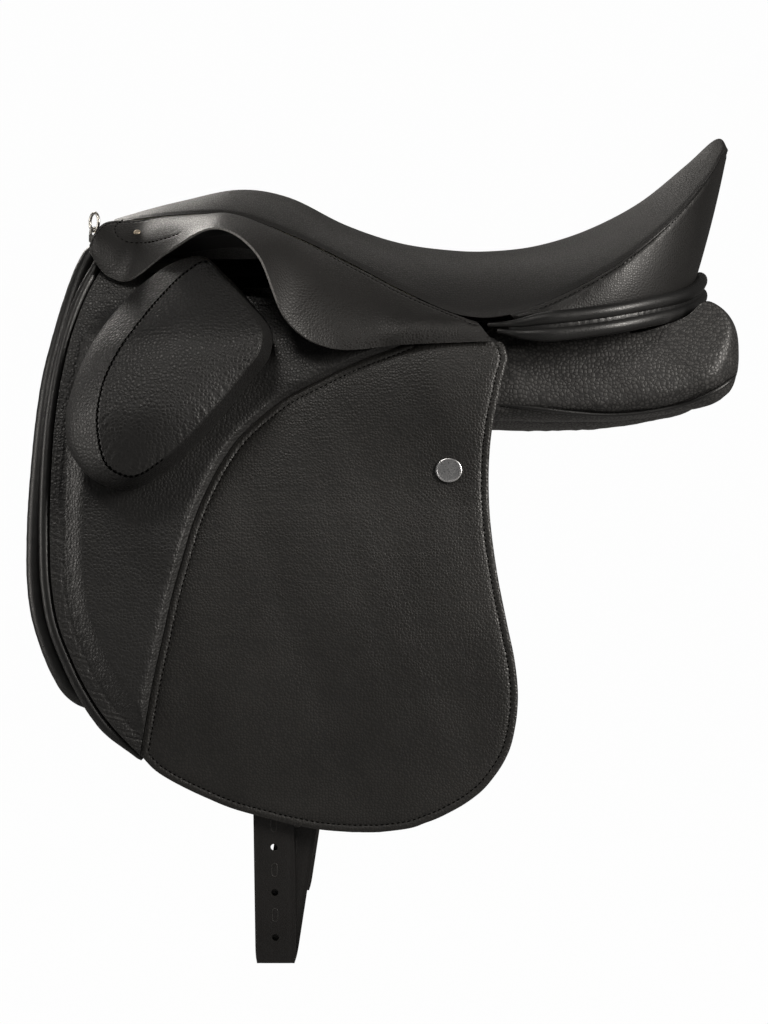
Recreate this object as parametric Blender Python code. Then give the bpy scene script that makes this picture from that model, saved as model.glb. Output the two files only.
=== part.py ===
"""English dressage saddle, with external knee blocks and long girth straps.

Sizes are in millimetres and become metres where a mesh is made. +X runs to the rear, +Z up, and the
near (left) side is at -Y. The origin lies on the middle plane, below the lowest point of the seat, at
the height of the panels' bearing face. Distances out from the middle plane are written as positive
numbers here, and each side's mesh takes its sign from SIDES.
"""

import math

import bmesh
import bpy
import numpy as np
from mathutils import Vector

MM = 0.001
SIDES = (("left", -1), ("right", 1))

# Clearances

SEAT_GAP = 0.3
LAYER_GAP = 0.6
STRAP_PLAY = 0.9

# Leather, padding and steel thicknesses

COVER_THICKNESS = 3.0
FOAM_THICKNESS = 15.0
TREE_THICKNESS = 7.0
SKIRT_THICKNESS = 3.4
FLAP_THICKNESS = 3.6
OVERLAY_THICKNESS = 2.4
FRONT_PAD_THICKNESS = 9.0
SWEAT_FLAP_THICKNESS = 3.0
STRAP_THICKNESS = 4.0
HEAD_PLATE_THICKNESS = 4.0
BAR_BASE_THICKNESS = 3.0

# The seat: one row for each cross-section, from pommel to cantle, with the middle line's x and z,
# the seam's x, half-width and z, and how squarely the section is crowned

SEAT_STATIONS = (
    (-270, 158, -268, 50, 152, 2.2),
    (-247, 165, -249, 58, 154, 2.2),
    (-221, 172, -223, 64, 156, 2.1),
    (-178, 181, -180, 72, 155, 2.0),
    (-140, 175, -140, 83, 141, 2.0),
    (-98, 154, -98, 98, 120, 2.2),
    (-58, 140, -54, 119, 95, 2.4),
    (-20, 134, -15, 136, 77, 2.6),
    (10, 133, 19, 141, 77, 2.7),
    (44, 137, 60, 142, 93, 2.6),
    (82, 149, 98, 136, 115, 2.5),
    (122, 170, 135, 117, 146, 2.4),
    (158, 199, 164, 86, 179, 2.2),
    (181, 219, 180, 56, 202, 2.1),
    (188.6, 212, 186, 38, 206, 2.0),
)
GUSSET_START = 8
CANTLE_BACK_TOP = (189.5, 210)
CANTLE_FOOT_X = 165.0

# The cantle's double roll: the upper roll's middle line on one side

ROLL_RADIUS = 5.4
ROLL_LINE = (
    (4, 138.5, 69.2),
    (14, 141.5, 69.3),
    (25, 146, 69.8),
    (39, 148, 72.2),
    (67, 145, 75.5),
    (95, 137, 80),
    (121, 121, 86),
    (142, 98, 92),
    (157, 68, 100),
    (166, 34, 109),
    (169, 0, 114),
)

# The wall that the flaps hang on: its distance out at the bottom, its lean and its rear fullness

WALL_OUT = 172.0
WALL_LEAN = 94.0
WALL_FOOT = -290.0
WALL_HEAD = 125.0
WALL_CURL = 2.6
REAR_FULLNESS = 22.0
REAR_FULL_X = (-190.0, -10.0)
REAR_FULL_Z = (-60.0, 60.0)

# The flap's outline, as (z, x) pairs down its front edge and down its rear edge

FLAP_FRONT = (
    (118, -270),
    (95, -281),
    (70, -289),
    (40, -295),
    (5, -299),
    (-40, -300.5),
    (-82, -300),
    (-113, -298),
    (-139, -293),
    (-162, -284),
    (-184, -273),
    (-201, -262),
    (-215, -250),
    (-230, -235),
    (-240, -225),
    (-250, -208),
    (-258, -191),
    (-266, -171),
    (-272, -149),
    (-277, -128),
    (-281, -100),
    (-282, -84),
)
FLAP_REAR = (
    (118, -262),
    (110, -236),
    (97, -208),
    (92, -160),
    (86, -110),
    (74, -45),
    (62, 3),
    (57, 13),
    (50, 16.5),
    (29, 13),
    (-6, 6),
    (-56, 4),
    (-103, 9),
    (-140, 16),
    (-165, 21),
    (-190, 23),
    (-210, 21),
    (-228, 16),
    (-243, 7),
    (-256, -5),
    (-267, -22),
    (-275, -40),
    (-280, -58),
    (-282, -76),
)
OVERLAY_FRONT = (
    (66, -30),
    (53, -62),
    (44, -86),
    (32, -111),
    (19, -136),
    (6, -153),
    (-8, -168),
    (-26, -181),
    (-45, -191),
    (-67, -200),
    (-91, -207),
    (-121, -215),
    (-149, -221),
    (-177, -227),
    (-205, -232),
    (-229, -236),
)
PAD_TOP_Z = 90.0
OVERLAY_TOP_Z = 57.0
WELT_RADIUS = 4.0
WELT_OUT = 2.5
WELT_TOP_Z = 116.0
WELT_FOOT_Z = -231.0

# The sweat flap under it, and the roll along its front edge

SWEAT_REAR = (
    (70, -70),
    (20, -34),
    (-60, -30),
    (-120, -38),
    (-170, -62),
    (-200, -105),
    (-212, -150),
    (-216, -180),
)
SWEAT_TOP_Z = 70.0
SWEAT_BOTTOM_Z = -216.0
FRONT_ROLL_RADIUS = 6.5
FRONT_ROLL_OUT = -8.0
FRONT_ROLL_LINE = (
    (-279, 132),
    (-286, 117),
    (-294, 90),
    (-300.5, 61),
    (-305.5, 35),
    (-308.5, 7),
    (-310.5, -26),
    (-312, -82),
    (-311, -111),
    (-308, -132),
    (-302, -152),
    (-294, -171),
    (-286, -184),
    (-277, -192),
)

# The knee block: where it lies on the flap, and the seam round its face

BLOCK_OUTLINE = (
    (-200, 121),
    (-181, 106),
    (-164, 87),
    (-147, 61),
    (-148, 49),
    (-162, 28),
    (-181, 4),
    (-198, -15),
    (-219, -34),
    (-245, -47),
    (-270, -39),
    (-286, -18),
    (-289, 3),
    (-284, 28),
    (-273, 56),
    (-257, 81),
    (-236, 104),
    (-217, 117),
)
BLOCK_FACE = (
    (-196, 115),
    (-180, 101),
    (-166, 84),
    (-153, 60),
    (-154, 50),
    (-167, 31),
    (-185, 8),
    (-201, -10),
    (-220, -27),
    (-242, -38),
    (-256, -31),
    (-262, -13),
    (-263, 5),
    (-260, 25),
    (-252, 45),
    (-239, 66),
    (-224, 88),
    (-209, 106),
)
BLOCK_HEIGHT = 44.0
BLOCK_CROWN = 6.0

# The skirt, from its front tip back: the tip's upper edge, which then follows the seat's seam, and
# its lower edge, all as (x, out, z)

SKIRT_TIP = (
    (-281, 92, 132),
    (-277, 88, 141),
    (-269, 76, 149.5),
)
SKIRT_SEAM_STATIONS = range(1, 8)
SKIRT_REAR_TOP = (-4, 141, 71.5)
SKIRT_LOWER = (
    (-281, 95, 126),
    (-274, 98, 114),
    (-264, 100, 106),
    (-250, 103, 105),
    (-224, 111, 123),
    (-188, 137, 138),
    (-157, 153, 118),
    (-136, 156, 71),
    (-104, 152, 52),
    (-52, 147, 55),
    (6, 146, 58),
)
SKIRT_SWELL = 5.0

# The flocked panel: each section's x, middle out and z, half-length across, half-thickness and
# downward tilt in degrees, then how high its rear may come beside the cantle rolls, as (x, z)

PANEL_STATIONS = (
    (-270, 84, 62, 62, 12, 57),
    (-220, 85, 60, 64, 14, 54),
    (-160, 86, 56, 63, 16, 48),
    (-90, 88, 46, 59, 22, 36),
    (-20, 88, 40, 54, 30, 20),
    (50, 88, 43, 52, 40, 6),
    (110, 88, 46, 50, 42, 0),
    (150, 86, 52, 45, 41, 0),
)
PANEL_REAR_TOP = ((96, 62), (121, 68), (142, 74), (150, 79), (157, 88), (164, 93))
PANEL_REAR_X = 187.0
PANEL_REAR_OUT = 82.0
PANEL_SQUARENESS = 2.9
PANEL_BEARING_Z = 0.0
ROLL_REST_X = 96.0

# Girth straps

STRAP_WIDTH = 28.0
STRAP_TOP_Z = 56.0
STRAP_BOTTOM_Z = -373.0
STRAP_FOOT_X = -143.5
FRONT_STRAP_TOP_X = -150.0
REAR_STRAP_TOP_X = -78.0
STRAP_HOLE_RADIUS = 2.5
STRAP_HOLE_PITCH = 31.0
STRAP_HOLES = 6
STRAP_FIRST_HOLE = {"front": 18.0, "rear": 33.5}
WEB_LENGTH = 34.0

# Head plate, stirrup bars and their catches

HEAD_PLATE_X = (-262.0, -202.0)
HEAD_PLATE_LEG_Z = 78.0
HEAD_PLATE_BEND = ((60, 119.5), (42, 123.5), (20, 124.8), (0, 125))
BAR_Z = 111.0
BAR_HEIGHT = 7.0
BAR_DEPTH = 6.0
BAR_STAND_OFF = 10.4
BAR_FRONT_X = -208.0
BAR_REAR_X = -136.0
BAR_BASE_REAR_X = -132.0
BAR_BASE_HEIGHT = 22.0
BAR_POST_LENGTH = 12.0
CATCH_LENGTH = 11.0
RIVET_RADIUS = 3.0
RIVET_HEIGHT = 1.6
RIVET_X = (-178.0, -148.0)
RIVET_Z = 104.0

# The flap's and skirt's shared hinge, and the height that the girth straps swing at
FLAP_HINGE = (-165.0, 75.0, 152.0)
STRAP_SWING_Z = 42.0

# Front facing, dee rings, nails and the flap's disc

FACING_X = (-276.0, -270.5)
FACING_OUTER = ((62, 92), (60, 112), (50, 134), (36, 147), (18, 153), (0, 155))
FACING_INNER = ((44, 92), (40, 110), (31, 126), (20, 135), (10, 139), (0, 140))
RING_RADIUS = 8.0
RING_WIRE = 1.3
STAPLE_WIRE = 1.1
RING_PLACE = (-281.0, 62.0, 143.4)
RING_TURN = 56.0
STAPLE_BASE = (7.0, 9.0, 5.0)
NAIL_PLACE = (-248.0, 141.0)
NAIL_RADIUS = 2.7
DISC_PLACE = (-24.0, -33.0)
DISC_SIZE = (9.2, 8.4)
DISC_THICKNESS = 1.5


def ease(share):
    share = np.clip(share, 0.0, 1.0)
    return share * share * (3.0 - 2.0 * share)


def track(keys):
    """A smooth function through rows of (place, value, ...), held at both ends."""
    rows = np.array(sorted(keys), float)
    places, values = rows[:, 0], rows[:, 1:]
    steps = np.diff(places)
    rises = np.diff(values, axis=0) / steps[:, None]
    slopes = np.empty_like(values)
    slopes[0], slopes[-1] = rises[0], rises[-1]
    before, after = steps[:-1, None], steps[1:, None]
    slopes[1:-1] = (rises[:-1] * after + rises[1:] * before) / (before + after)

    def at(place):
        place = np.clip(place, places[0], places[-1])
        k = np.clip(np.searchsorted(places, place) - 1, 0, len(steps) - 1)
        t = (place - places[k]) / steps[k]
        h, t = steps[k][..., None], np.asarray(t)[..., None]
        low, high = values[k], values[k + 1]
        rise = 3 * t**2 - 2 * t**3
        bend_low = (t**3 - 2 * t**2 + t) * h * slopes[k]
        bend_high = (t**3 - t**2) * h * slopes[k + 1]
        found = low * (1 - rise) + high * rise + bend_low + bend_high
        return found[..., 0] if found.shape[-1] == 1 else found

    return at


def along(points):
    """A smooth function of the share 0 to 1 of the way along the points, and the share of each."""
    points = np.array(points, float)
    strides = np.linalg.norm(np.diff(points, axis=0), axis=1)
    shares = np.concatenate([[0.0], np.cumsum(strides)]) / strides.sum()
    return track(np.column_stack([shares, points]).tolist()), shares


def round_loop(points, count):
    """count points evenly spaced round the smooth closed curve through the points."""
    points = np.array(points, float)
    closed = np.vstack([points[-2:], points, points[:3]])
    line, shares = along(closed)
    first, last = shares[2], shares[2 + len(points)]
    return line(np.linspace(first, last, count, endpoint=False))


def wall(x, z):
    """Half-width of the surface that the flap's inner face follows."""
    x, z = np.asarray(x, float), np.asarray(z, float)
    height = np.clip((z - WALL_FOOT) / (WALL_HEAD - WALL_FOOT), 0.0, None)
    rear = ease((x - REAR_FULL_X[0]) / (REAR_FULL_X[1] - REAR_FULL_X[0]))
    top = ease((z - REAR_FULL_Z[0]) / (REAR_FULL_Z[1] - REAR_FULL_Z[0]))
    return WALL_OUT - WALL_LEAN * height**WALL_CURL + REAR_FULLNESS * rear * top


def on_wall(x, z, out):
    """The point that lies out from the wall, measured square to it, at this x and z."""
    reach = 0.5
    lean_x = (wall(x + reach, z) - wall(x - reach, z)) / (2 * reach)
    lean_z = (wall(x, z + reach) - wall(x, z - reach)) / (2 * reach)
    stretch = np.sqrt(1.0 + lean_x**2 + lean_z**2)
    x, z = np.broadcast_arrays(np.asarray(x, float), np.asarray(z, float))
    return np.stack([x, wall(x, z) + out * stretch, z], axis=-1)


def shifted(grid, depth):
    """The grid of points moved square to its own surface, towards the side of the saddle's inside."""
    along_rows = np.gradient(grid, axis=0)
    along_columns = np.gradient(grid, axis=1)
    normal = np.cross(along_rows, along_columns)
    normal /= np.linalg.norm(normal, axis=-1, keepdims=True) + 1e-12
    return grid + normal * np.asarray(depth)[..., None]


def finish_mesh(name, points, faces, colour, roughness, metallic, smooth_angle):
    mesh = bpy.data.meshes.new(name)
    mesh.from_pydata([tuple(p) for p in np.asarray(points) * MM], [], faces)
    work = bmesh.new()
    work.from_mesh(mesh)
    bmesh.ops.recalc_face_normals(work, faces=work.faces)
    if work.calc_volume(signed=True) < 0:
        bmesh.ops.reverse_faces(work, faces=work.faces)
    work.to_mesh(mesh)
    work.free()
    mesh.shade_smooth()
    mesh.set_sharp_from_angle(angle=math.radians(smooth_angle))
    material = bpy.data.materials.new(name)
    material.use_nodes = True
    shader = material.node_tree.nodes["Principled BSDF"]
    shader.inputs["Base Color"].default_value = (*colour, 1.0)
    shader.inputs["Roughness"].default_value = roughness
    shader.inputs["Metallic"].default_value = metallic
    mesh.materials.append(material)
    piece = bpy.data.objects.new(name, mesh)
    bpy.context.scene.collection.objects.link(piece)
    return piece


LEATHER = ((0.02, 0.019, 0.019), 0.45, 0.0, 40)
GRAINED = ((0.017, 0.017, 0.017), 0.55, 0.0, 40)
FOAM = ((0.55, 0.52, 0.42), 0.9, 0.0, 40)
WEBBING = ((0.5, 0.45, 0.36), 0.85, 0.0, 40)
POLYMER = ((0.05, 0.05, 0.055), 0.5, 0.0, 40)
STEEL = ((0.5, 0.5, 0.52), 0.35, 1.0, 40)
CHROME = ((0.8, 0.8, 0.82), 0.12, 1.0, 50)


def sided(points, side):
    return np.asarray(points) * np.array([1.0, side, 1.0])


def slab(name, outer, inner, finish, side=1):
    """A closed solid between two grids of points of one shape."""
    rows, columns = outer.shape[:2]
    points = np.concatenate([outer.reshape(-1, 3), inner.reshape(-1, 3)])
    below = rows * columns
    faces = []
    for r in range(rows - 1):
        for c in range(columns - 1):
            a = r * columns + c
            quad = (a, a + 1, a + 1 + columns, a + columns)
            faces.append(quad)
            faces.append(tuple(below + k for k in reversed(quad)))
    rim = [(0, c) for c in range(columns)]
    rim += [(r, columns - 1) for r in range(1, rows)]
    rim += [(rows - 1, c) for c in range(columns - 2, -1, -1)]
    rim += [(r, 0) for r in range(rows - 2, 0, -1)]
    rim = [r * columns + c for r, c in rim]
    for a, b in zip(rim, rim[1:] + rim[:1]):
        faces.append((a, b, below + b, below + a))
    return finish_mesh(name, sided(points, side), faces, *finish)


def stack(name, rings, finish, side=1):
    """A closed solid through a list of rings of points, capped by a fan at both ends."""
    count = len(rings[0])
    points = [p for ring in rings for p in ring]
    faces = []
    for level in range(len(rings) - 1):
        base = level * count
        for k in range(count):
            after = (k + 1) % count
            faces.append((base + k, base + after, base + count + after, base + count + k))
    for level in (0, len(rings) - 1):
        middle = len(points)
        points.append(np.mean(rings[level], axis=0))
        base = level * count
        for k in range(count):
            faces.append((base + k, base + (k + 1) % count, middle))
    return finish_mesh(name, sided(points, side), faces, *finish)


def tube(name, path, radii, corners, finish, side=1):
    """A round tube along a path of points, with a radius for each."""
    path = np.asarray(path, float)
    radii = np.broadcast_to(radii, len(path))
    heading = np.gradient(path, axis=0)
    heading /= np.linalg.norm(heading, axis=1, keepdims=True)
    across = np.cross(heading[0], (0.0, 1.0, 0.0))
    if np.linalg.norm(across) < 0.1:
        across = np.cross(heading[0], (1.0, 0.0, 0.0))
    turns = np.linspace(0, 2 * math.pi, corners, endpoint=False)
    rings = []
    for centre, ahead, radius in zip(path, heading, radii):
        across = across - ahead * (across @ ahead)
        across /= np.linalg.norm(across)
        up = np.cross(ahead, across)
        ring = centre + radius * (
            np.cos(turns)[:, None] * across + np.sin(turns)[:, None] * up
        )
        rings.append(ring)
    return stack(name, rings, finish, side)


def block(name, low, high, finish, side=1):
    low, high = np.array(low, float), np.array(high, float)
    corners = [(x, y, z) for x in (0, 1) for y in (0, 1) for z in (0, 1)]
    points = [low + (high - low) * np.array(c) for c in corners]
    faces = [
        (0, 1, 3, 2),
        (4, 6, 7, 5),
        (0, 4, 5, 1),
        (2, 3, 7, 6),
        (0, 2, 6, 4),
        (1, 5, 7, 3),
    ]
    return finish_mesh(name, sided(points, side), faces, *finish)


# Seat, foam and tree

seat_section = track([(place, *station) for place, station in enumerate(SEAT_STATIONS)])


def seat_grid(rows_per_station, columns):
    """Points of the seat's top, from pommel to cantle and from seam to seam."""
    across = np.linspace(-1, 1, columns)
    last = len(SEAT_STATIONS) - 1
    grid = []
    for place in np.linspace(0, last, rows_per_station * last + 1):
        mid_x, mid_z, seam_x, seam_out, seam_z, power = seat_section(place)
        drop = abs(across) ** power
        x = mid_x + (seam_x - mid_x) * across**2
        z = mid_z + (seam_z - mid_z) * drop
        grid.append(np.stack([x, seam_out * across, z], axis=-1))
    return np.array(grid)


def under_tree(x, out):
    """Height of the tree's underside, for the panels that it rests on."""
    middles = [station[0] for station in SEAT_STATIONS]
    place = np.interp(x, middles, range(len(middles)))
    _, mid_z, _, seam_out, seam_z, power = seat_section(place)
    share = min(abs(out) / seam_out, 1.0)
    lean = (mid_z - seam_z) * power * share ** (power - 1) / seam_out
    depth = COVER_THICKNESS + FOAM_THICKNESS + TREE_THICKNESS + 2 * LAYER_GAP
    top = mid_z + (seam_z - mid_z) * share**power
    return top - depth * math.sqrt(1 + lean**2)


def make_seat():
    top = seat_grid(2, 15)
    rows, columns = top.shape[:2]
    skive = 1 - 0.75 * abs(np.linspace(-1, 1, columns)) ** 6
    thickness = COVER_THICKNESS * np.broadcast_to(skive, (rows, columns)).copy()
    thickness[-3:] *= np.array([0.75, 0.5, 0.3])[:, None]
    slab("seat_cover", top, shifted(top, -thickness), LEATHER)
    depth = COVER_THICKNESS + LAYER_GAP
    for name, thickness, kept, finish in (
        ("seat_foam", FOAM_THICKNESS, np.s_[1 : rows - 6, 1 : columns - 1], FOAM),
        ("tree", TREE_THICKNESS, np.s_[1 : rows - 6, 2 : columns - 2], POLYMER),
    ):
        high, low = np.full((rows, columns), -depth), np.full((rows, columns), -depth - thickness)
        slab(name, shifted(top, high)[kept], shifted(top, low)[kept], finish)
        depth += thickness + LAYER_GAP


def make_cantle():
    places = np.arange(GUSSET_START, len(SEAT_STATIONS) - 0.9, 0.5)
    seam = [tuple(seat_section(place)[2:5]) for place in places]
    seam.append((CANTLE_BACK_TOP[0], SEAT_GAP / 2, CANTLE_BACK_TOP[1]))
    upper, _ = along(seam)
    lower, _ = along([p for p in ROLL_LINE if p[0] >= seam[0][0]])
    columns, rows = 19, 4
    share = np.linspace(0, 1, columns)
    top = upper(share) + np.array([0.0, 0.0, -1.6])
    top[:, 1] += 0.6 * (1 - share)
    foot = lower(share) + np.array([0.0, 0.0, ROLL_RADIUS + 2 * SEAT_GAP])
    foot[:, 2] += 1.6 * (1 - share)
    foot[:, 0] += (CANTLE_FOOT_X - foot[-1, 0]) * share**3
    down = np.linspace(0, 1, rows)[:, None, None]
    outer = top * (1 - down) + foot * down
    outer[..., 1] = np.maximum(outer[..., 1], SEAT_GAP / 2)
    thickness = COVER_THICKNESS * (0.15 + 0.85 * ease(down[..., 0] / 0.7)) * (1 - 0.5 * share**2)
    inner = shifted(outer, thickness)
    inner[..., 1] = np.maximum(inner[..., 1], SEAT_GAP / 2)
    for side_name, side in SIDES:
        slab(f"cantle_gusset_{side_name}", outer, inner, LEATHER, side)


def make_cantle_rolls():
    near = [(x, -out, z) for x, out, z in ROLL_LINE]
    far = [(x, out, z) for x, out, z in reversed(ROLL_LINE[:-1])]
    line, _ = along(near + far)
    share = np.linspace(0, 1, 39)
    inward = np.minimum(share, 1 - share)
    radii = 2.0 + (ROLL_RADIUS - 2.0) * ease(inward / 0.09)
    upper = line(share)
    tube("cantle_roll_upper", upper, radii, 8, LEATHER)
    kept = inward >= 0.012
    drop = 2 * radii + 2 * SEAT_GAP
    lower = upper - np.stack([0 * drop, 0 * drop, drop], axis=1)
    tube("cantle_roll_lower", lower[kept], radii[kept], 8, LEATHER)


# Skirts and saddle nails


def skirt_grid(columns, rows):
    lift = np.array([0.0, 1.2, -1.2])
    seam = [np.array(SEAT_STATIONS[k][2:5]) + lift for k in SKIRT_SEAM_STATIONS]
    upper = np.array([*SKIRT_TIP, *seam, SKIRT_REAR_TOP], float)
    lower = np.array(SKIRT_LOWER, float)
    count = len(upper)
    top = track(np.column_stack([range(count), upper]).tolist())
    foot = track(np.column_stack([range(count), lower]).tolist())
    places = np.linspace(0, count - 1, columns)
    a, b = top(places), foot(places)
    swell = np.stack([np.zeros(columns), a[:, 2] - b[:, 2], b[:, 1] - a[:, 1]], axis=-1)
    swell /= np.linalg.norm(swell, axis=1, keepdims=True)
    down = np.linspace(0, 1, rows)[:, None, None]
    return a + (b - a) * down + SKIRT_SWELL * np.sin(math.pi * down) * swell


def dome(name, centre, normal, radius, height, finish, side=1):
    """A flat-backed round head that stands off along its normal."""
    normal = np.array(normal, float) / np.linalg.norm(normal)
    ahead = np.cross(normal, (0.0, 0.0, 1.0))
    ahead /= np.linalg.norm(ahead)
    up = np.cross(normal, ahead)
    turns = np.linspace(0, 2 * math.pi, 10, endpoint=False)
    circle = np.cos(turns)[:, None] * ahead + np.sin(turns)[:, None] * up
    rings = []
    for share in (0.0, 0.35, 0.7):
        wide = radius * math.cos(share * math.pi / 2)
        rise = height * math.sin(share * math.pi / 2)
        rings.append(centre + circle * wide + normal * rise)
    return stack(name, rings, finish, side)


def make_skirts():
    grid = skirt_grid(35, 6)
    inner = shifted(grid, np.full(grid.shape[:2], SKIRT_THICKNESS))
    flat = grid.reshape(-1, 3)
    reach = np.hypot(flat[:, 0] - NAIL_PLACE[0], flat[:, 2] - NAIL_PLACE[1])
    row, column = divmod(int(reach.argmin()), grid.shape[1])
    down = grid[row + 1, column] - grid[row - 1, column]
    back = grid[row, column + 1] - grid[row, column - 1]
    normal = np.cross(back, down)
    normal /= np.linalg.norm(normal)
    for side_name, side in SIDES:
        slab(f"skirt_{side_name}", grid, inner, LEATHER, side)
        seat = grid[row, column] + normal * (SEAT_GAP + 0.1)
        dome(f"saddle_nail_{side_name}", seat, normal, NAIL_RADIUS, 1.4, CHROME, side)


# Flaps


def rows_between(low, high, count):
    """Heights that are closer together near both ends."""
    share = (1 - np.cos(np.linspace(0, math.pi, count))) / 2
    return low + (high - low) * share


def flap_sheet(name, heights, front, rear, columns, low, high, finish, side, edge=0.0):
    """A sheet on the flap wall between two depths, thinned towards its edges by a share."""
    across = np.linspace(0, 1, columns)
    x = front(heights)[:, None] * (1 - across) + rear(heights)[:, None] * across
    z = np.broadcast_to(heights[:, None], x.shape)
    down = np.linspace(0, 1, len(heights))[:, None]
    nearest = np.minimum(np.minimum(across, 1 - across)[None, :], np.minimum(down, 1 - down))
    full = 1 - edge * (1 - ease(nearest / 0.16))
    outer = on_wall(x, z, low + (high - low) * full)
    inner = on_wall(x, z, np.full(x.shape, float(low)))
    return slab(name, outer, inner, finish, side)


flap_front = track(FLAP_FRONT)
flap_rear = track(FLAP_REAR)
overlay_front = track(OVERLAY_FRONT)
OVERLAY_IN = FLAP_THICKNESS + LAYER_GAP
BLOCK_IN = OVERLAY_IN + FRONT_PAD_THICKNESS + LAYER_GAP


def pad_rear(z):
    return np.minimum(overlay_front(z), flap_rear(z)) - 2 * SEAT_GAP


def welt_path():
    heights = np.linspace(WELT_TOP_Z, WELT_FOOT_Z, 22)
    edge = np.stack([flap_front(heights), heights], axis=-1)
    run = np.gradient(edge, axis=0)
    run /= np.linalg.norm(run, axis=1, keepdims=True)
    out = np.stack([run[:, 1], -run[:, 0]], axis=-1)
    place = edge + out * (WELT_RADIUS + SEAT_GAP)
    return on_wall(place[:, 0], place[:, 1], WELT_OUT)


def make_flaps():
    flap_low, flap_high = FLAP_FRONT[-1][0], FLAP_FRONT[0][0]
    pad_low = OVERLAY_FRONT[-1][0]
    parts = (
        rows_between(2 * flap_low - pad_low, pad_low, 13)[6:],
        np.linspace(pad_low, OVERLAY_TOP_Z, 15)[1:],
        np.linspace(OVERLAY_TOP_Z, PAD_TOP_Z, 4)[1:],
        np.linspace(PAD_TOP_Z, flap_high, 4)[1:],
    )
    parts[0][0] = flap_low
    heights = np.concatenate(parts)
    pad_heights = heights[(heights >= pad_low) & (heights <= PAD_TOP_Z)]
    over_heights = heights[heights <= OVERLAY_TOP_Z]
    for side_name, side in SIDES:
        flap_sheet(
            f"flap_{side_name}", heights, flap_front, flap_rear, 14, 0.0, FLAP_THICKNESS, LEATHER, side
        )
        flap_sheet(
            f"flap_front_pad_{side_name}",
            pad_heights,
            flap_front,
            pad_rear,
            13,
            OVERLAY_IN,
            OVERLAY_IN + FRONT_PAD_THICKNESS,
            GRAINED,
            side,
            0.65,
        )
        flap_sheet(
            f"flap_overlay_{side_name}",
            over_heights,
            lambda z: np.maximum(overlay_front(z), flap_front(z)),
            flap_rear,
            13,
            OVERLAY_IN,
            OVERLAY_IN + OVERLAY_THICKNESS,
            LEATHER,
            side,
        )
        tube(f"flap_welt_{side_name}", welt_path(), WELT_RADIUS, 8, LEATHER, side)


def block_height(z):
    """How far the block stands off the flap: least at its top, less again at its foot."""
    head = 0.5 + 0.5 * ease((BLOCK_OUTLINE[0][1] - z) / 70)
    foot = 0.75 + 0.25 * ease((z + 50) / 60)
    return BLOCK_HEIGHT * head * foot


def make_knee_blocks():
    count = 32
    outline = round_loop(BLOCK_OUTLINE, count)
    face = round_loop(BLOCK_FACE, count)
    middle = face.mean(axis=0)
    rings = []
    for lift, to_face, scale in (
        (0.01, 0.0, 0.12),
        (0.01, 0.0, 0.4),
        (0.02, 0.0, 0.68),
        (0.01, 0.0, 0.93),
        (0.12, 0.0, 0.985),
        (0.35, 0.0, 1.0),
        (0.6, 0.22, 1.0),
        (0.82, 0.62, 1.0),
        (0.95, 0.9, 1.0),
        (1.0, 1.0, 0.985),
    ):
        ring = outline * (1 - to_face) + face * to_face
        ring = middle + (ring - middle) * scale
        out = BLOCK_IN + lift * block_height(ring[:, 1])
        rings.append(on_wall(ring[:, 0], ring[:, 1], out))
    for scale in (0.86, 0.62, 0.34, 0.12):
        ring = middle + (face - middle) * scale
        out = BLOCK_IN + block_height(ring[:, 1]) + BLOCK_CROWN * (1 - scale**2)
        rings.append(on_wall(ring[:, 0], ring[:, 1], out))
    for side_name, side in SIDES:
        stack(f"knee_block_{side_name}", rings, GRAINED, side)


def make_disc():
    x, z = DISC_PLACE
    base = OVERLAY_IN + OVERLAY_THICKNESS + LAYER_GAP
    turns = np.linspace(0, 2 * math.pi, 24, endpoint=False)
    rings = []
    for rise, scale in ((0.0, 1.0), (0.7, 1.0), (1.0, 0.9)):
        ring_x = x + DISC_SIZE[0] * scale * np.cos(turns)
        ring_z = z + DISC_SIZE[1] * scale * np.sin(turns)
        rings.append(on_wall(ring_x, ring_z, base + rise * DISC_THICKNESS))
    stack("flap_disc_left", rings, STEEL, SIDES[0][1])


# Panels, sweat flaps and their front rolls

FRONT_STRAP_OUT = -STRAP_PLAY
REAR_STRAP_OUT = FRONT_STRAP_OUT - STRAP_THICKNESS - STRAP_PLAY
SWEAT_OUT = REAR_STRAP_OUT - STRAP_THICKNESS - STRAP_PLAY
PANEL_OUT = SWEAT_OUT - SWEAT_FLAP_THICKNESS - 1.5 * LAYER_GAP
HEAD_PLATE_MIDDLE = PANEL_OUT + SEAT_GAP + HEAD_PLATE_THICKNESS / 2

roll_front = track([(z, x) for x, z in FRONT_ROLL_LINE])
sweat_rear = track(SWEAT_REAR)


def make_sweat_flaps():
    heights = rows_between(SWEAT_BOTTOM_Z, SWEAT_TOP_Z, 15)

    def front(z):
        edge = roll_front(z) + FRONT_ROLL_RADIUS + SEAT_GAP
        low = FRONT_ROLL_LINE[-1][1]
        return edge + 2.4 * np.clip(low - z, 0, None)

    depth = SWEAT_OUT - SWEAT_FLAP_THICKNESS
    for side_name, side in SIDES:
        flap_sheet(
            f"sweat_flap_{side_name}", heights, front, sweat_rear, 12, depth, SWEAT_OUT, LEATHER, side
        )
        line, _ = along(FRONT_ROLL_LINE)
        place = line(np.linspace(0, 1, 25))
        path = on_wall(place[:, 0], place[:, 1], FRONT_ROLL_OUT)
        radii = FRONT_ROLL_RADIUS * np.minimum(1.0, np.linspace(18.0, 0.55, 25))
        tube(f"panel_front_roll_{side_name}", path, radii, 8, LEATHER, side)


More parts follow.
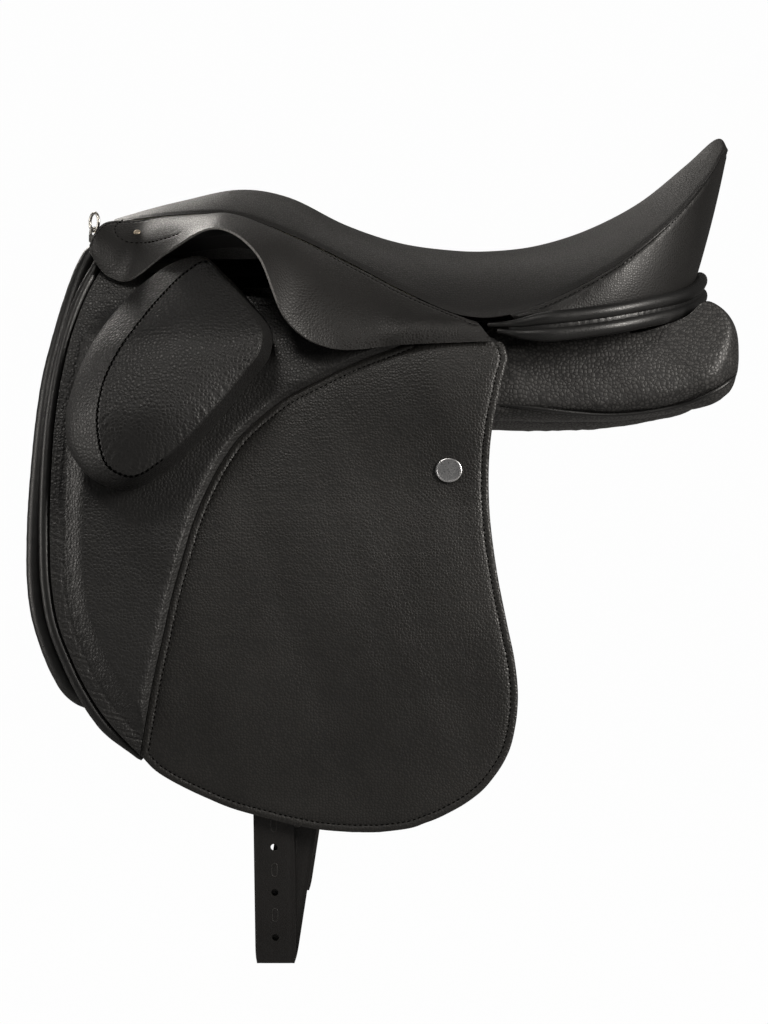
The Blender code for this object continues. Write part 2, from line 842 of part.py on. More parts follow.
def head_plate_arch():
    """The head plate's middle line, as (out, z) from its foot up to the middle plane."""
    x = HEAD_PLATE_X[0]
    legs = np.linspace(HEAD_PLATE_LEG_Z, HEAD_PLATE_BEND[0][1] - 9, 5)
    points = [tuple(on_wall(x, z, HEAD_PLATE_MIDDLE)[1:]) for z in legs]
    return points + list(HEAD_PLATE_BEND)


def panel_section(x, values, scale, count):
    out, z, half_length, half_thickness, tilt = values
    turns = np.linspace(0, 2 * math.pi, count, endpoint=False)
    power = 2 / PANEL_SQUARENESS
    cosine, sine = np.cos(turns), np.sin(turns)
    p = scale * half_length * np.sign(cosine) * abs(cosine) ** power
    q = scale * half_thickness * np.sign(sine) * abs(sine) ** power
    tilt = math.radians(tilt)
    y = out + p * math.cos(tilt) + q * math.sin(tilt)
    z = z - p * math.sin(tilt) + q * math.cos(tilt)
    arch = np.array(head_plate_arch()[::-1])
    ceiling = np.interp(y, arch[:, 0], arch[:, 1] - HEAD_PLATE_THICKNESS / 2 - 1.0)
    rolls = np.array(ROLL_LINE)
    under_rolls = np.interp(x - ROLL_RADIUS / 2, rolls[:, 0], rolls[:, 2]) - 3 * ROLL_RADIUS
    under_rolls -= 2 * SEAT_GAP
    rolls_end = np.interp(x - ROLL_RADIUS - 6, rolls[:, 0], rolls[:, 1]) + ROLL_RADIUS + 6
    beside_rolls = np.interp(x, *np.array(PANEL_REAR_TOP).T)
    ring = []
    for out, height, arch_z in zip(y, z, ceiling):
        height = min(height, under_tree(x, out) - SEAT_GAP)
        if x < HEAD_PLATE_X[1] + 8:
            height = min(height, arch_z)
        if x > ROLL_REST_X:
            height = min(height, under_rolls if out < rolls_end else beside_rolls)
        height = max(height, PANEL_BEARING_Z)
        out = min(out, on_wall(x, height, PANEL_OUT)[1])
        ring.append((x, out, height))
    return ring


def make_panels():
    count = 20
    section = track(PANEL_STATIONS)
    last = PANEL_STATIONS[-1][0]
    rings = []
    for x in [*np.linspace(PANEL_STATIONS[0][0], 120, 14), 137, last]:
        rings.append(panel_section(x, section(x), 1.0, count))
    rear = np.array(section(last))
    for turn in np.radians([18, 36, 54, 68, 80]):
        values = rear.copy()
        values[0] += (PANEL_REAR_OUT - rear[0]) * math.sin(turn)
        x = last + (PANEL_REAR_X - last) * math.sin(turn)
        rings.append(panel_section(x, values, math.cos(turn) ** 0.75, count))
    for side_name, side in SIDES:
        stack(f"panel_{side_name}", rings, GRAINED, side)


# Girth straps and their webs


def strap_middle(top_x, z):
    share = (STRAP_TOP_Z - z) / (STRAP_TOP_Z - STRAP_BOTTOM_Z)
    return top_x + (STRAP_FOOT_X - top_x) * share


def make_strap(name, top_x, out, first_hole, side):
    radius = STRAP_WIDTH / 2
    turns = np.radians([0, 12, 28, 46, 66, 86])
    round_end = STRAP_TOP_Z - radius + radius * np.cos(turns)
    heights = np.concatenate([round_end, np.linspace(round_end[-1] - 22, STRAP_BOTTOM_Z, 12)])
    half = np.concatenate([radius * np.sin(turns), np.full(12, radius)])
    half[0] = 1.0
    across = np.linspace(-1, 1, 3)
    x = strap_middle(top_x, heights)[:, None] + half[:, None] * across
    z = np.broadcast_to(heights[:, None], x.shape)
    outer = on_wall(x, z, out)
    inner = on_wall(x, z, out - STRAP_THICKNESS)
    strap = slab(name, outer, inner, LEATHER, side)
    holes = bmesh.new()
    for number in range(STRAP_HOLES):
        z = STRAP_BOTTOM_Z + first_hole + number * STRAP_HOLE_PITCH
        x = strap_middle(top_x, z)
        y = float(wall(x, z)) + out - STRAP_THICKNESS / 2
        made = bmesh.ops.create_cone(
            holes,
            cap_ends=True,
            segments=8,
            radius1=STRAP_HOLE_RADIUS * MM,
            radius2=STRAP_HOLE_RADIUS * MM,
            depth=4 * STRAP_THICKNESS * MM,
        )
        for vertex in made["verts"]:
            px, py, pz = vertex.co
            vertex.co = Vector((x * MM + px, side * y * MM + pz, z * MM - py))
    bmesh.ops.recalc_face_normals(holes, faces=holes.faces)
    mesh = bpy.data.meshes.new(f"{name}_holes")
    holes.to_mesh(mesh)
    holes.free()
    cutter = bpy.data.objects.new(f"{name}_holes", mesh)
    cutter.hide_render = True
    cutter.display_type = "WIRE"
    bpy.context.scene.collection.objects.link(cutter)
    cut = strap.modifiers.new("holes", "BOOLEAN")
    cut.operation = "DIFFERENCE"
    cut.solver = "EXACT"
    cut.object = cutter


def make_web(name, top_x, out, side):
    heights = np.linspace(STRAP_TOP_Z + SEAT_GAP + 0.1, STRAP_TOP_Z + WEB_LENGTH, 4)
    x = top_x + STRAP_WIDTH / 2 * np.broadcast_to(np.linspace(-1, 1, 3), (4, 3))
    z = np.broadcast_to(heights[:, None], x.shape)
    outer = on_wall(x, z, out)
    inner = on_wall(x, z, out - STRAP_THICKNESS)
    slab(name, outer, inner, WEBBING, side)


def make_straps():
    for side_name, side in SIDES:
        for place, top_x, out in (
            ("front", FRONT_STRAP_TOP_X, FRONT_STRAP_OUT),
            ("rear", REAR_STRAP_TOP_X, REAR_STRAP_OUT),
        ):
            first_hole = STRAP_FIRST_HOLE[place]
            make_strap(f"{place}_girth_strap_{side_name}", top_x, out, first_hole, side)
            make_web(f"{place}_girth_web_{side_name}", top_x, out, side)


# Head plate, stirrup bars and catches


def make_head_plate():
    half = np.array(head_plate_arch())
    path = np.vstack([half, (half * [-1, 1])[::-1][1:]])
    run = np.gradient(path, axis=0)
    run /= np.linalg.norm(run, axis=1, keepdims=True)
    normal = np.stack([run[:, 1], -run[:, 0]], axis=-1) * HEAD_PLATE_THICKNESS / 2

    def skin(line):
        return np.array([[(x, y, z) for x in HEAD_PLATE_X] for y, z in line])

    slab("head_plate", skin(path + normal), skin(path - normal), STEEL)


def prism(name, outline, finish, side=1):
    """A solid from pairs of matching points, near face and far face, given in order round its edge."""
    near = [pair[0] for pair in outline]
    far = [pair[1] for pair in outline]
    count = len(outline)
    faces = [tuple(range(count)), tuple(reversed(range(count, 2 * count)))]
    for k in range(count):
        after = (k + 1) % count
        faces.append((k, after, count + after, count + k))
    return finish_mesh(name, sided(near + far, side), faces, *finish)


BAR_BASE_IN = HEAD_PLATE_MIDDLE + HEAD_PLATE_THICKNESS / 2 + SEAT_GAP
BAR_BASE_OUT = BAR_BASE_IN + BAR_BASE_THICKNESS
BAR_IN = BAR_BASE_OUT + BAR_STAND_OFF
BAR_OUT = BAR_IN + BAR_DEPTH


def make_stirrup_bars():
    low, high = BAR_Z - BAR_HEIGHT / 2, BAR_Z + BAR_HEIGHT / 2
    base_low, base_high = BAR_Z - BAR_BASE_HEIGHT / 2, BAR_Z + BAR_BASE_HEIGHT / 2
    plan = [
        (BAR_FRONT_X, BAR_BASE_OUT + SEAT_GAP),
        (BAR_FRONT_X + BAR_POST_LENGTH, BAR_BASE_OUT + SEAT_GAP),
        (BAR_FRONT_X + BAR_POST_LENGTH, BAR_IN),
        (BAR_REAR_X, BAR_IN),
        (BAR_REAR_X, BAR_OUT),
        (BAR_FRONT_X + BAR_POST_LENGTH / 2, BAR_OUT),
        (BAR_FRONT_X, BAR_OUT - BAR_DEPTH / 2),
    ]
    pivot_x = BAR_REAR_X + BAR_HEIGHT / 2 + SEAT_GAP
    catch_in = float(on_wall(pivot_x, BAR_Z, BAR_IN)[1])
    catch_out = float(on_wall(pivot_x, BAR_Z, BAR_OUT)[1])
    turns = np.radians(np.linspace(90, 270, 7))
    profile = [
        (pivot_x + BAR_HEIGHT / 2 * math.cos(t), BAR_Z + BAR_HEIGHT / 2 * math.sin(t)) for t in turns
    ]
    profile += [
        (pivot_x + CATCH_LENGTH - 3, low),
        (pivot_x + CATCH_LENGTH, low + 2.5),
        (pivot_x + CATCH_LENGTH, high - 1),
        (pivot_x + CATCH_LENGTH - 1, high),
    ]
    for side_name, side in SIDES:
        spans = np.linspace(BAR_FRONT_X - 4, BAR_BASE_REAR_X, 7)
        x, z = np.meshgrid(spans, np.linspace(base_low, base_high, 4), indexing="ij")
        slab(
            f"stirrup_bar_base_{side_name}",
            on_wall(x, z, BAR_BASE_OUT),
            on_wall(x, z, BAR_BASE_IN),
            STEEL,
            side,
        )
        outline = [(on_wall(x, low, out), on_wall(x, high, out)) for x, out in plan]
        prism(f"stirrup_bar_{side_name}", outline, STEEL, side)
        outline = [((x, catch_in, z), (x, catch_out, z)) for x, z in profile]
        prism(f"stirrup_bar_catch_{side_name}", outline, STEEL, side)
        for place, rivet_x in (("front", RIVET_X[0]), ("rear", RIVET_X[1])):
            centre = on_wall(rivet_x, RIVET_Z, BAR_BASE_OUT + SEAT_GAP)
            inside = on_wall(rivet_x, RIVET_Z, 0.0)
            lean = on_wall(rivet_x, RIVET_Z + 1, 0.0) - inside
            normal = np.cross(lean, (1.0, 0.0, 0.0))
            name = f"bar_rivet_{place}_{side_name}"
            dome(name, centre, normal, RIVET_RADIUS, RIVET_HEIGHT, STEEL, side)


# Front facing and dee rings


def make_facing():
    outer = FACING_OUTER + tuple((-y, z) for y, z in FACING_OUTER[-2::-1])
    inner = FACING_INNER + tuple((-y, z) for y, z in FACING_INNER[-2::-1])
    outer_line, _ = along(outer)
    inner_line, _ = along(inner)
    share = np.linspace(0, 1, 21)

    def skin(x):
        rows = [outer_line(share), inner_line(share)]
        return np.array([[(x, y, z) for y, z in row] for row in rows])

    slab("front_facing", skin(FACING_X[0]), skin(FACING_X[1]), LEATHER)


def make_dees():
    x, y, z = RING_PLACE
    turn = math.radians(RING_TURN)
    run = np.array([math.cos(turn), math.sin(turn), 0.0])
    across = np.array([-run[1], run[0], 0.0])
    wire_radius = RING_RADIUS - RING_WIRE
    hub = np.array([x, y, z + wire_radius])
    count, corners = 20, 7
    ring_points, faces = [], []
    for k in range(count):
        a = 2 * math.pi * k / count
        away = run * math.cos(a) + np.array([0, 0, math.sin(a)])
        for c in range(corners):
            b = 2 * math.pi * c / corners
            wire = away * math.cos(b) + across * math.sin(b)
            ring_points.append(hub + away * wire_radius + wire * RING_WIRE)
    for k in range(count):
        for c in range(corners):
            k2, c2 = (k + 1) % count, (c + 1) % corners
            faces.append((k * corners + c, k2 * corners + c, k2 * corners + c2, k * corners + c2))
    arch_radius = RING_WIRE + STAPLE_WIRE + 2 * SEAT_GAP
    foot = z - RING_WIRE - 1.6
    bends = np.radians(np.linspace(0, 180, 9))
    legs = [(arch_radius, foot)] + [
        (arch_radius * math.cos(t), z + arch_radius * math.sin(t)) for t in bends
    ]
    legs.append((-arch_radius, foot))
    path = [np.array([x, y, 0]) + across * s + np.array([0, 0, h]) for s, h in legs]
    low = np.array([x, y, foot]) - np.array([STAPLE_BASE[0] / 2, STAPLE_BASE[1] / 2, STAPLE_BASE[2]])
    high = low + np.array(STAPLE_BASE)
    for side_name, side in SIDES:
        finish_mesh(f"dee_ring_{side_name}", sided(ring_points, side), faces, *CHROME)
        wire_piece = tube(f"dee_loop_{side_name}", path, STAPLE_WIRE, 8, CHROME, side)
        base = block(f"dee_staple_{side_name}", low, high, CHROME, side)
        wire_piece.location.z -= 0.6 * MM
        wire_piece.hide_render = True
        wire_piece.display_type = "WIRE"
        join = base.modifiers.new("loop", "BOOLEAN")
        join.operation = "UNION"
        join.solver = "EXACT"
        join.object = wire_piece


# Joint axes: each moving piece has its origin on its own


def hang(names, place):
    for name in names:
        piece = bpy.data.objects[name]
        shift = Vector(place) * MM
        for vertex in piece.data.vertices:
            vertex.co -= shift
        piece.location += shift


def hang_moving_pieces():
    for side_name, side in SIDES:
        leather = ["flap", "flap_overlay", "flap_front_pad", "flap_welt", "knee_block"]
        leather += ["skirt", "saddle_nail"]
        names = [f"{name}_{side_name}" for name in leather]
        if side_name == "left":
            names.append("flap_disc_left")
        hang(names, sided(FLAP_HINGE, side))
        for place, top_x, out in (
            ("front", FRONT_STRAP_TOP_X, FRONT_STRAP_OUT),
            ("rear", REAR_STRAP_TOP_X, REAR_STRAP_OUT),
        ):
            middle = out - STRAP_THICKNESS / 2
            point = on_wall(strap_middle(top_x, STRAP_SWING_Z), STRAP_SWING_Z, middle)
            hang([f"{place}_girth_strap_{side_name}"], sided(point, side))
        pivot_x = BAR_REAR_X + BAR_HEIGHT / 2 + SEAT_GAP
        point = on_wall(pivot_x, BAR_Z, (BAR_IN + BAR_OUT) / 2)
        hang([f"stirrup_bar_catch_{side_name}"], sided(point, side))
        hang([f"dee_ring_{side_name}"], sided(RING_PLACE, side))


def main():
    for leftover in list(bpy.data.objects):
        bpy.data.objects.remove(leftover, do_unlink=True)
    make_seat()
    make_cantle()
    make_cantle_rolls()
    make_skirts()
    make_flaps()
    make_knee_blocks()
    make_disc()
    make_sweat_flaps()
    make_panels()
    make_straps()
    make_head_plate()
    make_stirrup_bars()
    make_facing()
    make_dees()
    hang_moving_pieces()


main()
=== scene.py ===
"""The looks of a dressage saddle: leather, seams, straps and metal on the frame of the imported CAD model.

The relief of a surface is a sum of terms, each a height in millimetres times a band, an ease or a ripple.
"""

import math

import bmesh
import bpy
import numpy as np
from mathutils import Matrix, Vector


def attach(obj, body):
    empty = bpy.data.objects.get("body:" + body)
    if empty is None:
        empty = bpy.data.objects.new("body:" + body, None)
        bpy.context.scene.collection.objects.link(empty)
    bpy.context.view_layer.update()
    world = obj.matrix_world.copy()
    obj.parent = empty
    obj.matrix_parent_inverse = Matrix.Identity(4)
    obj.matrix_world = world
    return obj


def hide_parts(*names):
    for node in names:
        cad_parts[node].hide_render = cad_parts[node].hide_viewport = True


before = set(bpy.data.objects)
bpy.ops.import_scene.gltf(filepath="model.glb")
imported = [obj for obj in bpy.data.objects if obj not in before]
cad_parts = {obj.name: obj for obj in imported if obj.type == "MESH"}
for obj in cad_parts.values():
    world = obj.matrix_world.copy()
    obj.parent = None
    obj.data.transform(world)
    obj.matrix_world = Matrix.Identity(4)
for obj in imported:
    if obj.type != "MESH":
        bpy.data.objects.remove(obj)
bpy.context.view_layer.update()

MM = 0.001
SIDES = {"left": -1, "right": 1}
ROOT = "tree_and_seat"
scene = bpy.context.scene

# Curves and surfaces, in millimetres, as the part has them


def ease(share):
    """A smooth step from 0 to 1."""
    share = np.clip(share, 0.0, 1.0)
    return share * share * (3.0 - 2.0 * share)


def band(distance, middle, width):
    """A soft ridge that is 1 high at one distance and fades on both sides of it."""
    return np.exp(-(((distance - middle) / width) ** 2))


def joined(*parts):
    """Points from their coordinates, each a number or an array."""
    return np.stack(np.broadcast_arrays(*parts), axis=-1)


def unit(vectors):
    return vectors / (np.linalg.norm(vectors, axis=-1, keepdims=True) + 1e-12)


def track(keys):
    """A smooth function through keys of a place and its values, without overshoot."""
    rows = np.array(sorted(keys), float)
    places, values = rows[:, 0], rows[:, 1:]
    steps = np.diff(places)
    rises = np.diff(values, axis=0) / steps[:, None]
    slopes = np.empty_like(values)
    slopes[0], slopes[-1] = rises[0], rises[-1]
    before, after = steps[:-1, None], steps[1:, None]
    slopes[1:-1] = (rises[:-1] * after + rises[1:] * before) / (before + after)

    def at(place):
        place = np.clip(place, places[0], places[-1])
        k = np.clip(np.searchsorted(places, place) - 1, 0, len(steps) - 1)
        t = (place - places[k]) / steps[k]
        h, t = steps[k][..., None], np.asarray(t)[..., None]
        low, high = values[k], values[k + 1]
        rise = 3 * t**2 - 2 * t**3
        bend_low = (t**3 - 2 * t**2 + t) * h * slopes[k]
        bend_high = (t**3 - t**2) * h * slopes[k + 1]
        found = low * (1 - rise) + high * rise + bend_low + bend_high
        return found[..., 0] if found.shape[-1] == 1 else found

    return at


def run_of(points):
    """The distance from the first point of a line to each of its points."""
    strides = np.linalg.norm(np.diff(points, axis=0), axis=1)
    return np.concatenate([[0.0], np.cumsum(strides)])


def along(points):
    """A smooth line through points, asked by the share of its length."""
    run = run_of(points)
    return track(np.column_stack([run / run[-1], points]).tolist())


def round_loop(points, count):
    """Points on a smooth closed line through points."""
    more = [*points[-2:], *points, *points[:3]]
    run = run_of(more)
    shares = np.linspace(run[2], run[-3], count, endpoint=False) / run[-1]
    return along(more)(shares)


def places_on(points, run, at):
    """Places on a straight-sided line, at given distances along it."""
    return np.stack([np.interp(at, run, points[:, k]) for k in range(points.shape[1])], axis=-1)


def resample(points, step):
    points = np.asarray(points, float)
    run = run_of(points)
    count = max(int(round(run[-1] / step)), 2)
    return places_on(points, run, np.linspace(0, run[-1], count))


def smoothed(rows, times=1):
    """Rows averaged with the rows beside them, with the first and last one kept."""
    rows = np.array(rows, float)
    for _ in range(times):
        rows[1:-1] = rows[1:-1] * 0.5 + (rows[:-2] + rows[2:]) * 0.25
    return rows


def wall(x, z):
    """How far out the girth side of the saddle lies: the surface that flaps and straps hang along."""
    x, z = np.asarray(x, float), np.asarray(z, float)
    height = np.clip((z + 290) / 415, 0.0, None)
    return 172 - 94 * height**2.6 + 22 * ease((x + 190) / 180) * ease((z + 60) / 120)


def wall_lean(x, z):
    return wall(x + 0.5, z) - wall(x - 0.5, z), wall(x, z + 0.5) - wall(x, z - 0.5)


def on_wall(x, z, out):
    """Points that stand a distance out of the wall."""
    lean_x, lean_z = wall_lean(x, z)
    stretch = np.sqrt(1.0 + lean_x**2 + lean_z**2)
    return joined(x, wall(x, z) + out * stretch, z)


def wall_normal(x, z):
    lean_x, lean_z = wall_lean(x, z)
    return unit(joined(-lean_x, 1.0, -lean_z))


def wall_path(flat, out):
    """A line on the wall, from its places in x and z, and its normals."""
    return on_wall(flat[:, 0], flat[:, 1], out), wall_normal(flat[:, 0], flat[:, 1])


def grid_normal(grid):
    return unit(np.cross(np.gradient(grid, axis=0), np.gradient(grid, axis=1)))


def facing(normal, away):
    """Normals turned over where they face the wrong way on the whole."""
    return normal if (normal * away).sum() > 0 else -normal


def bunched(count, amount=0.8):
    """Shares 0 to 1 that lie closer together near both ends."""
    even = np.linspace(0, 1, count)
    return even * (1 - amount) + (1 - np.cos(math.pi * even)) / 2 * amount


def circle(count):
    """The cosines and sines of turns round a circle."""
    turns = np.linspace(0, 2 * math.pi, count, endpoint=False)
    return np.cos(turns), np.sin(turns)


def circle_on(aside, up, count):
    """Points of a circle spanned by two directions."""
    cosines, sines = circle(count)
    return cosines[:, None] * aside + sines[:, None] * up


def ripple(places, period, seed):
    """An uneven wave, for puckers and creases: a few sines of unlike length."""
    rng = np.random.default_rng(seed)
    total = np.zeros_like(places, dtype=float)
    for share, weight in ((1.0, 0.5), (0.71, 0.3), (1.63, 0.35), (2.6, 0.2)):
        phase = rng.uniform(0, 2 * math.pi)
        total += weight * np.sin(2 * math.pi * places * share / period + phase)
    return total


def nearest_distance(points, line, chunk=4000):
    """Distance in the plane from each point to the nearest stretch of a line."""
    a, b = line[:-1], line[1:]
    run = b - a
    length = (run**2).sum(axis=1) + 1e-12
    flat = points.reshape(-1, 2)
    found = np.empty(len(flat))
    for start in range(0, len(flat), chunk):
        p = flat[start : start + chunk, None, :]
        t = np.clip(((p - a) * run).sum(axis=2) / length, 0, 1)
        gap = p - (a + run * t[..., None])
        found[start : start + chunk] = np.sqrt((gap**2).sum(axis=2).min(axis=1))
    return found.reshape(points.shape[:-1])


# Materials


def new_material(name, colour, roughness, metallic=0.0):
    made = bpy.data.materials.new(name)
    made.use_nodes = True
    shader = made.node_tree.nodes["Principled BSDF"]
    shader.inputs["Base Color"].default_value = (*colour, 1.0)
    shader.inputs["Roughness"].default_value = roughness
    shader.inputs["Metallic"].default_value = metallic
    return made, made.node_tree, shader


def node(tree, kind, inputs=None, **settings):
    """A node with its settings made. An input is a value or another node's output."""
    made = tree.nodes.new(kind)
    for key, value in settings.items():
        setattr(made, key, value)
    for key, value in (inputs or {}).items():
        if hasattr(value, "is_output"):
            tree.links.new(value, made.inputs[key])
        else:
            made.inputs[key].default_value = value
    return made


def mapped(tree, value, low, high, to_low, to_high, kind="LINEAR"):
    ends = {"Value": value, "From Min": low, "From Max": high, "To Min": to_low, "To Max": to_high}
    return node(tree, "ShaderNodeMapRange", ends, interpolation_type=kind).outputs["Result"]


def maths(tree, operation, a, b):
    return node(tree, "ShaderNodeMath", {0: a, 1: b}, operation=operation).outputs[0]


def object_place(tree):
    return node(tree, "ShaderNodeTexCoord").outputs["Object"]


def noise(tree, place, scale, detail, output="Fac"):
    inputs = {"Vector": place, "Scale": scale, "Detail": detail}
    return node(tree, "ShaderNodeTexNoise", inputs).outputs[output]


def feed(tree, shader, key, value):
    tree.links.new(value, shader.inputs[key])


def tinted(colour, strength):
    return (*[min(part * strength, 1.0) for part in colour], 1.0)


def two_tone(tree, value, dark, light, low=0.0, high=1.0):
    ramp = node(tree, "ShaderNodeValToRGB", {"Fac": value})
    for end, colour, place in zip(ramp.color_ramp.elements, (dark, light), (low, high)):
        end.color = colour
        end.position = place
    return ramp.outputs["Color"]


def embossed(tree, shader, height, depth):
    """Relief on a material, with its depth in millimetres."""
    bump = node(tree, "ShaderNodeBump", {"Height": height, "Distance": depth * MM, "Strength": 1.0})
    feed(tree, shader, "Normal", bump.outputs["Normal"])


def leather(name, colour, roughness, cell, depth, dark=0.6):
    """Leather whose grain is domed pebbles of a given size in mm, parted by creases, with a relief in mm.
    dark is how far the creases are painted black, a painted shade in the grain's hollows."""
    made, tree, shader = new_material(name, colour, roughness)
    place = object_place(tree)
    push = {0: 0.0022, 4: place, 5: noise(tree, place, 90.0, 2.0, "Color")}
    bent = node(tree, "ShaderNodeMix", push, data_type="VECTOR").outputs[1]
    pebble = {"Vector": bent, "Scale": 1000.0 / cell, "Randomness": 0.8}
    middles = node(tree, "ShaderNodeTexVoronoi", pebble, feature="F1").outputs["Distance"]
    edges = node(tree, "ShaderNodeTexVoronoi", pebble, feature="DISTANCE_TO_EDGE").outputs["Distance"]
    fine = noise(tree, place, 5000.0 / cell, 2.0)
    broad = noise(tree, place, 14.0, 3.0)
    dome = mapped(tree, middles, 0.0, 0.8, 1.0, 0.0)
    crown = mapped(tree, edges, 0.0, 0.3, 0.0, 1.0, "SMOOTHSTEP")
    height = maths(tree, "ADD", maths(tree, "MULTIPLY", dome, 0.7), maths(tree, "MULTIPLY", crown, 0.3))
    height = maths(tree, "ADD", height, maths(tree, "MULTIPLY", fine, 0.12))
    embossed(tree, shader, height, depth)
    gloss = mapped(tree, crown, 0.0, 1.0, roughness + 0.2, roughness)
    gloss = maths(tree, "ADD", gloss, mapped(tree, broad, 0.35, 0.65, -0.03, 0.04))
    feed(tree, shader, "Roughness", gloss)
    broad_share = mapped(tree, broad, 0.3, 0.7, 0.0, 1.0)
    tone = two_tone(tree, broad_share, tinted(colour, 0.86), tinted(colour, 1.25))
    # Painted shade: the creases between the pebbles are mixed towards near black, as shade would fall in
    # them.
    crease_shade_mix = {0: mapped(tree, crown, 0.0, 1.0, dark, 0.0), 6: tone, 7: (0.002, 0.002, 0.002, 1.0)}
    feed(tree, shader, "Base Color", node(tree, "ShaderNodeMix", crease_shade_mix, data_type="RGBA").outputs[2])
    return made


def fibrous(name, colour, roughness, scale, depth, spread=0.3, shine=0.5):
    """A cut edge, thread, foam or other plain stuff: noise in its colour and relief."""
    made, tree, shader = new_material(name, colour, roughness)
    shader.inputs["Specular IOR Level"].default_value = shine
    grain = noise(tree, object_place(tree), scale, 5.0)
    tone = two_tone(tree, grain, tinted(colour, 1 - spread), tinted(colour, 1 + spread), 0.32, 0.68)
    feed(tree, shader, "Base Color", tone)
    embossed(tree, shader, grain, depth)
    return made


def metal(name, colour, roughness, scale, stretch=(1, 1, 1)):
    """Metal with fine wear marks in its gloss."""
    made, tree, shader = new_material(name, colour, roughness, 1.0)
    turned = node(tree, "ShaderNodeMapping", {"Vector": object_place(tree), "Scale": stretch})
    grain = noise(tree, turned.outputs[0], scale, 4.0)
    gloss = mapped(tree, grain, 0.3, 0.7, roughness * 0.75, roughness * 1.35)
    feed(tree, shader, "Roughness", gloss)
    embossed(tree, shader, grain, 0.02)
    return made


def woven(name, colour, period):
    """Flat webbing with a thread every period, in mm: two crossing waves."""
    made, tree, shader = new_material(name, colour, 0.85)
    wave = {"Vector": object_place(tree), "Scale": 1000 / period / 6.28}
    waves = [node(tree, "ShaderNodeTexWave", wave, bands_direction=way).outputs["Fac"] for way in "XZ"]
    weave = maths(tree, "MULTIPLY", *waves)
    feed(tree, shader, "Base Color", two_tone(tree, weave, tinted(colour, 0.55), tinted(colour, 1)))
    embossed(tree, shader, weave, 0.4)
    return made


# A leather's number after its relief is how far its creases are painted black, a painted shade; where none
# is given it is 0.6.
SEAT_LEATHER = leather("seat_leather", (0.0095, 0.009, 0.0085), 0.37, 1.7, 0.12)
FLAP_LEATHER = leather("flap_leather", (0.0175, 0.0165, 0.015), 0.34, 2.0, 0.24, 0.7)
SKIRT_LEATHER = leather("skirt_leather", (0.0066, 0.0058, 0.005), 0.38, 1.9, 0.14)
GRAIN_LEATHER = leather("grain_leather", (0.0095, 0.0092, 0.009), 0.38, 2.6, 0.3, 0.7)
# Painted light: the panel is the same black leather, but its base colour is raised about fourfold over the
# others to stand for the light from the upper right. Its grain is real, and its creases carry painted
# shade.
PANEL_LEATHER_PAINTED_LIGHT = leather("panel_leather_painted_light", (0.038, 0.037, 0.036), 0.38, 2.9, 0.3, 0.9)
PAD_LEATHER = leather("pad_leather", (0.0145, 0.0142, 0.0138), 0.36, 2.3, 0.26, 0.7)
ROLL_LEATHER = leather("roll_leather", (0.007, 0.007, 0.007), 0.3, 1.6, 0.05)
STRAP_LEATHER = leather("strap_leather", (0.006, 0.005, 0.0046), 0.36, 1.3, 0.07)
LINING_LEATHER = leather("lining_leather", (0.004, 0.0039, 0.0038), 0.6, 1.8, 0.1)
CUT_EDGE = fibrous("cut_edge", (0.19, 0.185, 0.18), 0.6, 900.0, 0.12, 0.5)
DARK_EDGE = fibrous("dark_edge", (0.016, 0.015, 0.014), 0.5, 900.0, 0.08)
THREAD = fibrous("thread", (0.0015, 0.0015, 0.0015), 1.0, 2600.0, 0.06, shine=0.0)
FOAM = fibrous("foam", (0.55, 0.52, 0.42), 0.95, 1400.0, 0.25, 0.15)
SHELL = fibrous("tree_plastic", (0.012, 0.012, 0.013), 0.6, 700.0, 0.06, 0.12)
WEB = woven("webbing", (0.5, 0.45, 0.36), 1.6)
CHROME = metal("chrome", (0.58, 0.56, 0.52), 0.3, 900.0)
BRASS = metal("nail_brass", (0.5, 0.42, 0.33), 0.35, 900.0)
# Painted shade: this is real steel, but its near-black colour stands for the deep shade under the skirt,
# where the stirrup bars, head plate and rivets sit.
STEEL_PAINTED_SHADE = metal("steel", (0.022, 0.022, 0.023), 0.5, 400.0, (1, 1, 6))
SATIN = metal("satin_metal", (0.72, 0.72, 0.73), 0.3, 1500.0)

# Pieces


def solid_mesh(name, points, faces, finishes, which=None):
    """A mesh from points in millimetres, with its faces turned outwards. which gives each face's finish."""
    mesh = bpy.data.meshes.new(name)
    mesh.from_pydata((np.asarray(points) * MM).tolist(), [], faces)
    if which is not None:
        mesh.polygons.foreach_set("material_index", which)
    work = bmesh.new()
    work.from_mesh(mesh)
    bmesh.ops.recalc_face_normals(work, faces=work.faces)
    if work.calc_volume(signed=True) < 0:
        bmesh.ops.reverse_faces(work, faces=work.faces)
    work.to_mesh(mesh)
    work.free()
    for finish in finishes:
        mesh.materials.append(finish)
    return mesh


def soften(mesh, sharp):
    """Smooth shading up to an angle in degrees."""
    mesh.shade_smooth()
    mesh.set_sharp_from_angle(angle=math.radians(sharp))


def placed(name, data):
    made = bpy.data.objects.new(name, data)
    scene.collection.objects.link(made)
    return made


def sided(points, side):
    return points * np.array([1.0, SIDES[side], 1.0])


def make_piece(
    name, points, faces, finishes, body, replaced=None, side=None, which=None, bevel=0, sharp=50
):
    """A piece that rides on a body and may stand for a CAD node. Points are those of the right side. A side
    mirrors them, and its name is added to those of the piece, the node and the body."""
    points = np.asarray(points)
    if side:
        name = f"{name}_{side}"
        replaced = f"{replaced}_{side}" if replaced else None
        body = body if body == ROOT else f"{side}_{body}"
        points = sided(points, side)
    mesh = solid_mesh(name, points, faces, finishes, which)
    soften(mesh, sharp)
    piece = placed(name, mesh)
    if bevel:
        cut = piece.modifiers.new("edges", "BEVEL")
        cut.width = bevel * MM
        cut.segments = 2
        cut.limit_method = "ANGLE"
        cut.angle_limit = math.radians(50)
    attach(piece, body)
    if replaced:
        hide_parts(replaced)
    return piece


